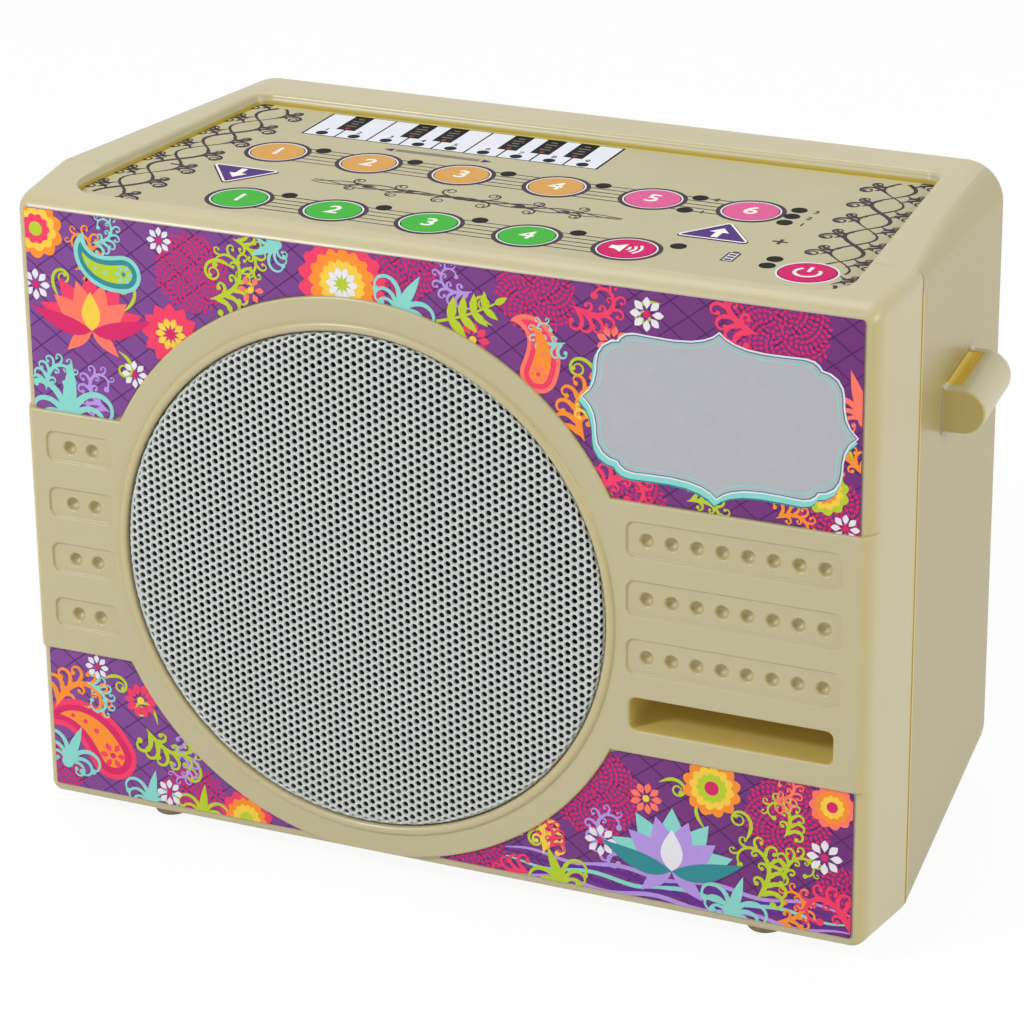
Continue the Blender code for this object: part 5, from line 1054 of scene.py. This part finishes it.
keypad.bare = [(*power_key, 8.9), (103.5, -52.0, 7.0)]
for side in (-1, 1):
    stem = [-52.0 + 95.0 * i / 90 for i in range(91)]
    for phase, wide in ((0.0, 1.05), (pi, 0.7)):
        wave = [(side * (overlay_edge(y) - 9.0 + 4.6 * sin(y / 4.7 + phase)), y) for y in stem]
        widths = [wide * (0.6 + 0.7 * abs(sin(y / 9.4))) for y in stem]
        for i in range(0, 90, 3):
            keypad.ink(print_brown, ribbon(wave[i:i + 4], widths[i:i + 4]), 1)
    for i in range(7):
        y = -47.5 + 14.75 * (i - 0.25)
        for way in (-1, 1):
            level = y + 7.4 * (way > 0)
            start = side * (overlay_edge(level) - 9.0 + 4.2 * way)
            out = side * way
            foot = start - 1.3 * out
            scroll(keypad, print_brown, foot, level - 4.6, 90 - 34 * out, 22.0, 1.4, -out, 1.6, 1)
            scroll(keypad, print_brown, foot, level + 3.0, -90 + 40 * out, 16.0, 1.1, out, 1.5, 1)
            keypad.ink(print_brown, put(petal(5.0, 1.7, 0.3 * out), start, level, 90 - 70 * out), 1)
            keypad.ink(print_brown, put(petal(3.6, 1.3, -0.3 * out), start, level - 1.0, -90 + 60 * out), 1)
for phase in (0.0, 2.1, 4.2):
    wave = []
    for i in range(101):
        x = -60.0 + 98.0 * i / 100
        wave.append((x, -17.8 + (1.5 + 0.9 * sin(x / 9.0)) * sin(x / 5.6 + phase)))
    keypad.ink(print_brown, ribbon(wave, [0.55 * sin(pi * (i + 1) / 102) ** 0.3 for i in range(101)]), 1)
for side in (-1, 1):
    turn = 90 - 90 * side
    for reach, rise, length in ((4.0, 0.6, 17.0), (19.0, -0.4, 15.0), (33.0, 0.5, 14.0)):
        for hand in (-1, 1):
            start = -11.0 + side * reach
            scroll(keypad, print_brown, start, -17.8 + rise, turn + 14 * hand, length, 0.8, hand, 1.3, 1)
            keypad.ink(print_brown, put(petal(4.2, 1.3, 0.3 * hand), start, -17.8, turn + 150 * hand), 1)
bar(keypad, print_brown, -106.0, -101.5, -20.2, -19.2)
bar(keypad, print_brown, 84.0, 88.5, -20.2, -19.2)
bar(keypad, print_brown, 85.75, 86.75, -21.95, -17.45)
bar(keypad, print_brown, 76.4, 80.2, -41.0, -33.4)
bar(keypad, print_white, 77.0, 79.6, -40.4, -34.0, 1)
bar(keypad, print_brown, 77.4, 79.2, -33.4, -32.4)
for i in range(3):
    bar(keypad, print_brown, 77.3, 79.3, -40.0 + 2.0 * i, -38.8 + 2.0 * i, 2)
keypad.finish("keypad_print")

# Keys: moulded caps that stand a little proud of the overlay, each on its flange under it and
# printed with a plain number or sign.
CAP_TOP = 195.8
key_figure = ink_paint("key_figure", 240, 236, 226, 0.04)
cap_profile = [(0, 194.3), (9.0, 194.3), (9.0, 194.8), (8.0, 194.8), (8.0, 195.60)]
cap_profile += [(7.97, 195.69), (7.90, 195.76), (7.80, 195.80), (0, CAP_TOP)]


def number(text, place, size, body, height=CAP_TOP, paint=key_figure, bold=0.00012):
    """A plain printed number, lying on a key's top or on the overlay."""
    bpy.ops.object.text_add(location=(0, 0, 0))
    figure = bpy.context.object
    figure.name = f"{body}_figure_{text}"
    figure.data.body = text
    figure.data.size = size * 0.001
    figure.data.extrude = 0.00003
    figure.data.offset = bold
    figure.data.align_x = "CENTER"
    figure.data.align_y = "CENTER"
    bpy.ops.object.convert(target="MESH")
    figure.data.transform(Matrix.Translation(Vector((*place, height + 0.02)) * 0.001))
    figure.data.materials.clear()
    figure.data.materials.append(paint.material)
    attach(figure, body)


for i in range(9):
    place = -84.0 + 10.722 * i + 5.36, 28.9
    number(str(i + 1), place, 3.4, "case", OVERLAY_TOP + 0.03, print_black, 0.00003)
for text, lamp in (("2", lamps[4]), ("1", lamps[6]), ("3", lamps[5]), ("1", lamps[7]), ("2", lamps[8])):
    number(text, (lamp[0] + 5.2, lamp[1]), 3.6, "case", OVERLAY_TOP, print_black, 0.00003)
caps = [(f"rear_key_{i + 1}", place, "orange" if i < 4 else "pink") for i, place in enumerate(rear_keys)]
caps += [(f"front_key_{i + 1}", place, "green" if i < 4 else "magenta") for i, place in enumerate(front_keys)]
caps.append(("power_key", power_key, "magenta"))
cap_paints = {}
for label, colour in (
    ("orange", (0.62, 0.325, 0.085)),
    ("pink", (0.66, 0.105, 0.27)),
    ("green", (0.048, 0.40, 0.038)),
    ("magenta", (0.56, 0.006, 0.115)),
    ("purple", (0.070, 0.022, 0.175)),
):
    cap_paints[label] = Paint(f"key_{label}", roughness=0.45, shine=0.05)
    cap_paints[label].mottle(colour, 0.05, 300.0)
    cap_paints[label].grain(1500.0, 0.05)
for name, place, label in caps:
    cap = turned(f"{name}_cap", cap_profile, 56, place, "Z")
    dressed(cap, cap_paints[label], 30)
    stands_for(cap, name, name)
for i in range(6):
    number(str(i + 1), rear_keys[i], 9.0, f"rear_key_{i + 1}")
for i in range(4):
    number(str(i + 1), front_keys[i], 9.0, f"front_key_{i + 1}")
for name, place, way in (("up_key", UP_KEY, 1), ("down_key", DOWN_KEY, -1)):
    levels = [(194.3, 1.0), (194.8, 1.0), (194.8, 0.0), (195.62, 0.0), (195.74, -0.05), (195.8, -0.18)]
    cap = lofted(f"{name}_cap", [[(a, b, z) for a, b in triangle(place, way, grow)] for z, grow in levels])
    dressed(cap, cap_paints["purple"], 30)
    stands_for(cap, name, name)
    sign = Artwork(lambda a, b, high: (a, b, CAP_TOP + high))
    outer, inner = triangle(place, way, -0.1), triangle(place, way, -0.75)
    for i in range(len(outer)):
        sign.ink(key_figure, [outer[i - 1], outer[i], inner[i], inner[i - 1]])
    arrow = [(-1.0, -5.0), (1.0, -5.0), (1.0, -0.6), (2.9, -0.6), (0.0, 3.2), (-2.9, -0.6), (-1.0, -0.6)]
    sign.ink(key_figure, put(arrow, place[0], place[1] - 0.6 * way, 90 - 90 * way))
    sign.finish(f"{name}_sign", name)
sign = Artwork(lambda a, b, high: (a, b, CAP_TOP + high))
speaker_sign = [(-5.0, -1.3), (-3.4, -1.3), (-0.8, -3.4), (-0.8, 3.4), (-3.4, 1.3), (-5.0, 1.3)]
sign.ink(key_figure, put(speaker_sign, *front_keys[4]))
for reach in (2.0, 3.7, 5.4):
    spread = [(reach * cos(radians(t)) - 1.2, reach * sin(radians(t))) for t in range(-40, 41, 10)]
    sign.ink(key_figure, put(ribbon(spread, [0.8] * 9), *front_keys[4]))
sign.finish("front_key_5_sign", "front_key_5")
sign = Artwork(lambda a, b, high: (a, b, CAP_TOP + high))
spread = [(3.6 * cos(radians(t)), 3.6 * sin(radians(t))) for t in range(128, 413, 15)]
sign.ink(key_figure, put(ribbon(spread, [1.0] * 19), *power_key))
bar(sign, key_figure, power_key[0] - 0.5, power_key[0] + 0.5, power_key[1] + 0.6, power_key[1] + 4.6)
sign.finish("power_key_sign", "power_key")

# Speaker, behind the grille: a black pressed basket, a paper cone with a rolled edge, a ferrite
# magnet and a rubber ring on the seat, held by four screws.
black_steel = Paint("basket_steel", roughness=0.5, metallic=0.3)
black_steel.mottle((0.016, 0.016, 0.018), 0.2, 90.0)
black_steel.grain(900.0, 0.15)
paper = Paint("cone_paper", roughness=0.9)
paper.mottle((0.016, 0.015, 0.015), 0.3, 400.0)
paper.grain(1100.0, 0.5)
ferrite = Paint("ferrite", roughness=0.6)
ferrite.mottle((0.035, 0.035, 0.038), 0.25, 300.0)
ferrite.grain(600.0, 0.3)
rubber = Paint("gasket_rubber", roughness=0.85)
rubber.mottle((0.014, 0.014, 0.014), 0.2, 200.0)
rubber.grain(700.0, 0.3)
screw_steel = Paint("zinc_steel", roughness=0.32, metallic=1.0)
screw_steel.mottle((0.60, 0.61, 0.60), 0.06, 500.0)
screw_steel.grain(1200.0, 0.12)
for name, paint in (
    ("speaker_frame", black_steel),
    ("speaker_cone", paper),
    ("speaker_magnet", ferrite),
    ("speaker_gasket", rubber),
):
    nodes[name].material_slots[0].material = paint.material
for i in range(1, 5):
    for kind in ("speaker", "board", "case"):
        nodes[f"{kind}_screw_{i}"].material_slots[0].material = screw_steel.material

# Boards: the keypad's spacer and board under the overlay, and the main board on the back wall,
# of green-lacquered glass laminate, joined by a flat cable, with leads to speaker and battery.
laminate = Paint("circuit_board", roughness=0.36, coat=0.3)
x, y, z = laminate.axes(laminate.place())
tracks = ((x / 0.0032).part() > 0.72) * (laminate.noise(38.0, 1.0) > 0.52)
laminate.set("Base Color", laminate.blend(tracks * 0.8, (0.012, 0.105, 0.040), (0.030, 0.215, 0.075)))
laminate.grain(800.0, 0.1)
spacer_sheet = Paint("spacer_sheet", roughness=0.45)
spacer_sheet.mottle((0.60, 0.60, 0.58), 0.04, 120.0)
spacer_sheet.grain(900.0, 0.05)
lead_cover = Paint("lead_grey", roughness=0.5)
lead_cover.mottle((0.20, 0.20, 0.21), 0.08, 200.0)
lead_cover.grain(900.0, 0.1)
for name, paint in (
    ("keypad_board", laminate),
    ("main_board", laminate),
    ("keypad_spacer", spacer_sheet),
    ("keypad_ribbon", lead_cover),
    ("speaker_lead", lead_cover),
    ("battery_lead", lead_cover),
):
    nodes[name].material_slots[0].material = paint.material

# Sockets: a black power socket with its pin and a smaller line socket, soldered to the main
# board, with their nozzles flush in the back wall.
jack_plastic = Paint("jack_plastic", roughness=0.4)
jack_plastic.mottle((0.018, 0.018, 0.020), 0.15, 200.0)
jack_plastic.grain(900.0, 0.1)
for name, x, nozzle, bore, pin in (("dc_jack", 40.0, 5.4, 3.2, 1.0), ("line_jack", 62.0, 4.2, 1.8, 0.0)):
    rise = nozzle + 1.0
    socket = box(x - rise, x + rise, 60.5, 67.2, 123.7 - rise, 123.7 + rise)
    socket.name = f"{name}_fine"
    rim = [(0, 66.2), (nozzle, 66.2), (nozzle, 69.7), (nozzle - 0.3, 70.0), (0, 70.0)]
    shaped(socket, "UNION", [turned("rim", rim, 48, (x, 123.7))])
    hollow = [(0, 75.0), (bore + 5.4, 75.0), (bore + 0.4, 70.0), (bore, 69.6), (bore, 61.5)]
    hollow += [(pin, 61.5), (pin, 68.7), (pin - 0.3, 69.0), (0, 69.0)] if pin else [(0, 61.5)]
    shaped(socket, "DIFFERENCE", [turned("bore", hollow, 32, (x, 123.7))])
    dressed(socket, jack_plastic, 40)
    stands_for(socket, name)

# Battery: rechargeable cells side by side in a green shrink sleeve, upright in the bay.
sleeve = Paint("battery_sleeve", roughness=0.3, coat=0.3)
x, y, z = sleeve.axes(sleeve.place())
sleeve.set("Base Color", sleeve.blend(abs(z - 0.048) < 0.009, (0.02, 0.16, 0.075), (0.42, 0.43, 0.40)))
sleeve.grain(500.0, 0.12)
nodes["battery_pack"].material_slots[0].material = sleeve.material

# Battery door: an ivory lid with two hooks at its foot, a latch bar and cut thumb lines, which
# turns about its lower outer edge.
door = outlined((-62.0, 62.0, 23.7, 83.7, 1.0), [(67.9, 0.0), (69.5, 0.0), (69.8, -0.15), (70.0, -0.45)])
door.name = "battery_door_fine"
hook = [(68.4, 24.0), (68.4, 25.6), (66.0, 25.6), (66.0, 21.0), (67.2, 21.0), (67.2, 24.0)]
hooked = [box(-10.0, 10.0, 63.7, 68.4, 77.7, 79.2)]
for x in (-40.0, 40.0):
    hooked.append(lofted("hook", [[(side, y, z) for y, z in hook] for side in (x - 6.0, x + 6.0)]))
shaped(door, "UNION", hooked)
lines = [(69.55, -0.3), (69.7, -0.1), (70.2, 0.25)]
thumb_lines = [(-17.0, 17.0, 58.0 + 2.6 * i, 59.2 + 2.6 * i, 0.55) for i in range(6)]
shaped(door, "DIFFERENCE", [outlined(outline, lines) for outline in thumb_lines])
dressed(door, ivory, 30)
stands_for(door, "battery_door", "battery_door")

# Feet: four soft cream rubber pads under the case's floor, each on a stem pushed into its hole.
foot_rubber = Paint("foot_rubber", roughness=0.75)
foot_rubber.mottle((0.44, 0.38, 0.21), 0.06, 160.0)
foot_rubber.grain(900.0, 0.25)
foot_profile = [(0, 0), (6.0, 0), (6.4, 0.1), (6.65, 0.4), (8.0, 4.6), (3.0, 4.6), (3.0, 10.7), (0, 10.7)]
for name, x, y in (
    ("foot_front_left", -96.9, -47.5),
    ("foot_front_right", 96.9, -47.5),
    ("foot_rear_left", -96.9, 50.0),
    ("foot_rear_right", 96.9, 50.0),
):
    foot = turned(f"{name}_pad", foot_profile, 40, (x, y), "Z")
    for vertex in foot.data.vertices:
        ahead = vertex.co.y - y * 0.001
        if y < 0 and ahead < 0 and vertex.co.z < 0.005:
            vertex.co.y += 0.5 * ahead
        if abs(vertex.co.z - 0.0046) < 1e-5:
            along = vertex.co.y * 1000
            slope = (SEAM_Y - along) * DRAFT if y < 0 else (along - SEAM_Y) * UNDER
            vertex.co.z = (BOTTOM + slope - 0.3) * 0.001
    dressed(foot, foot_rubber, 30)
    stands_for(foot, name)
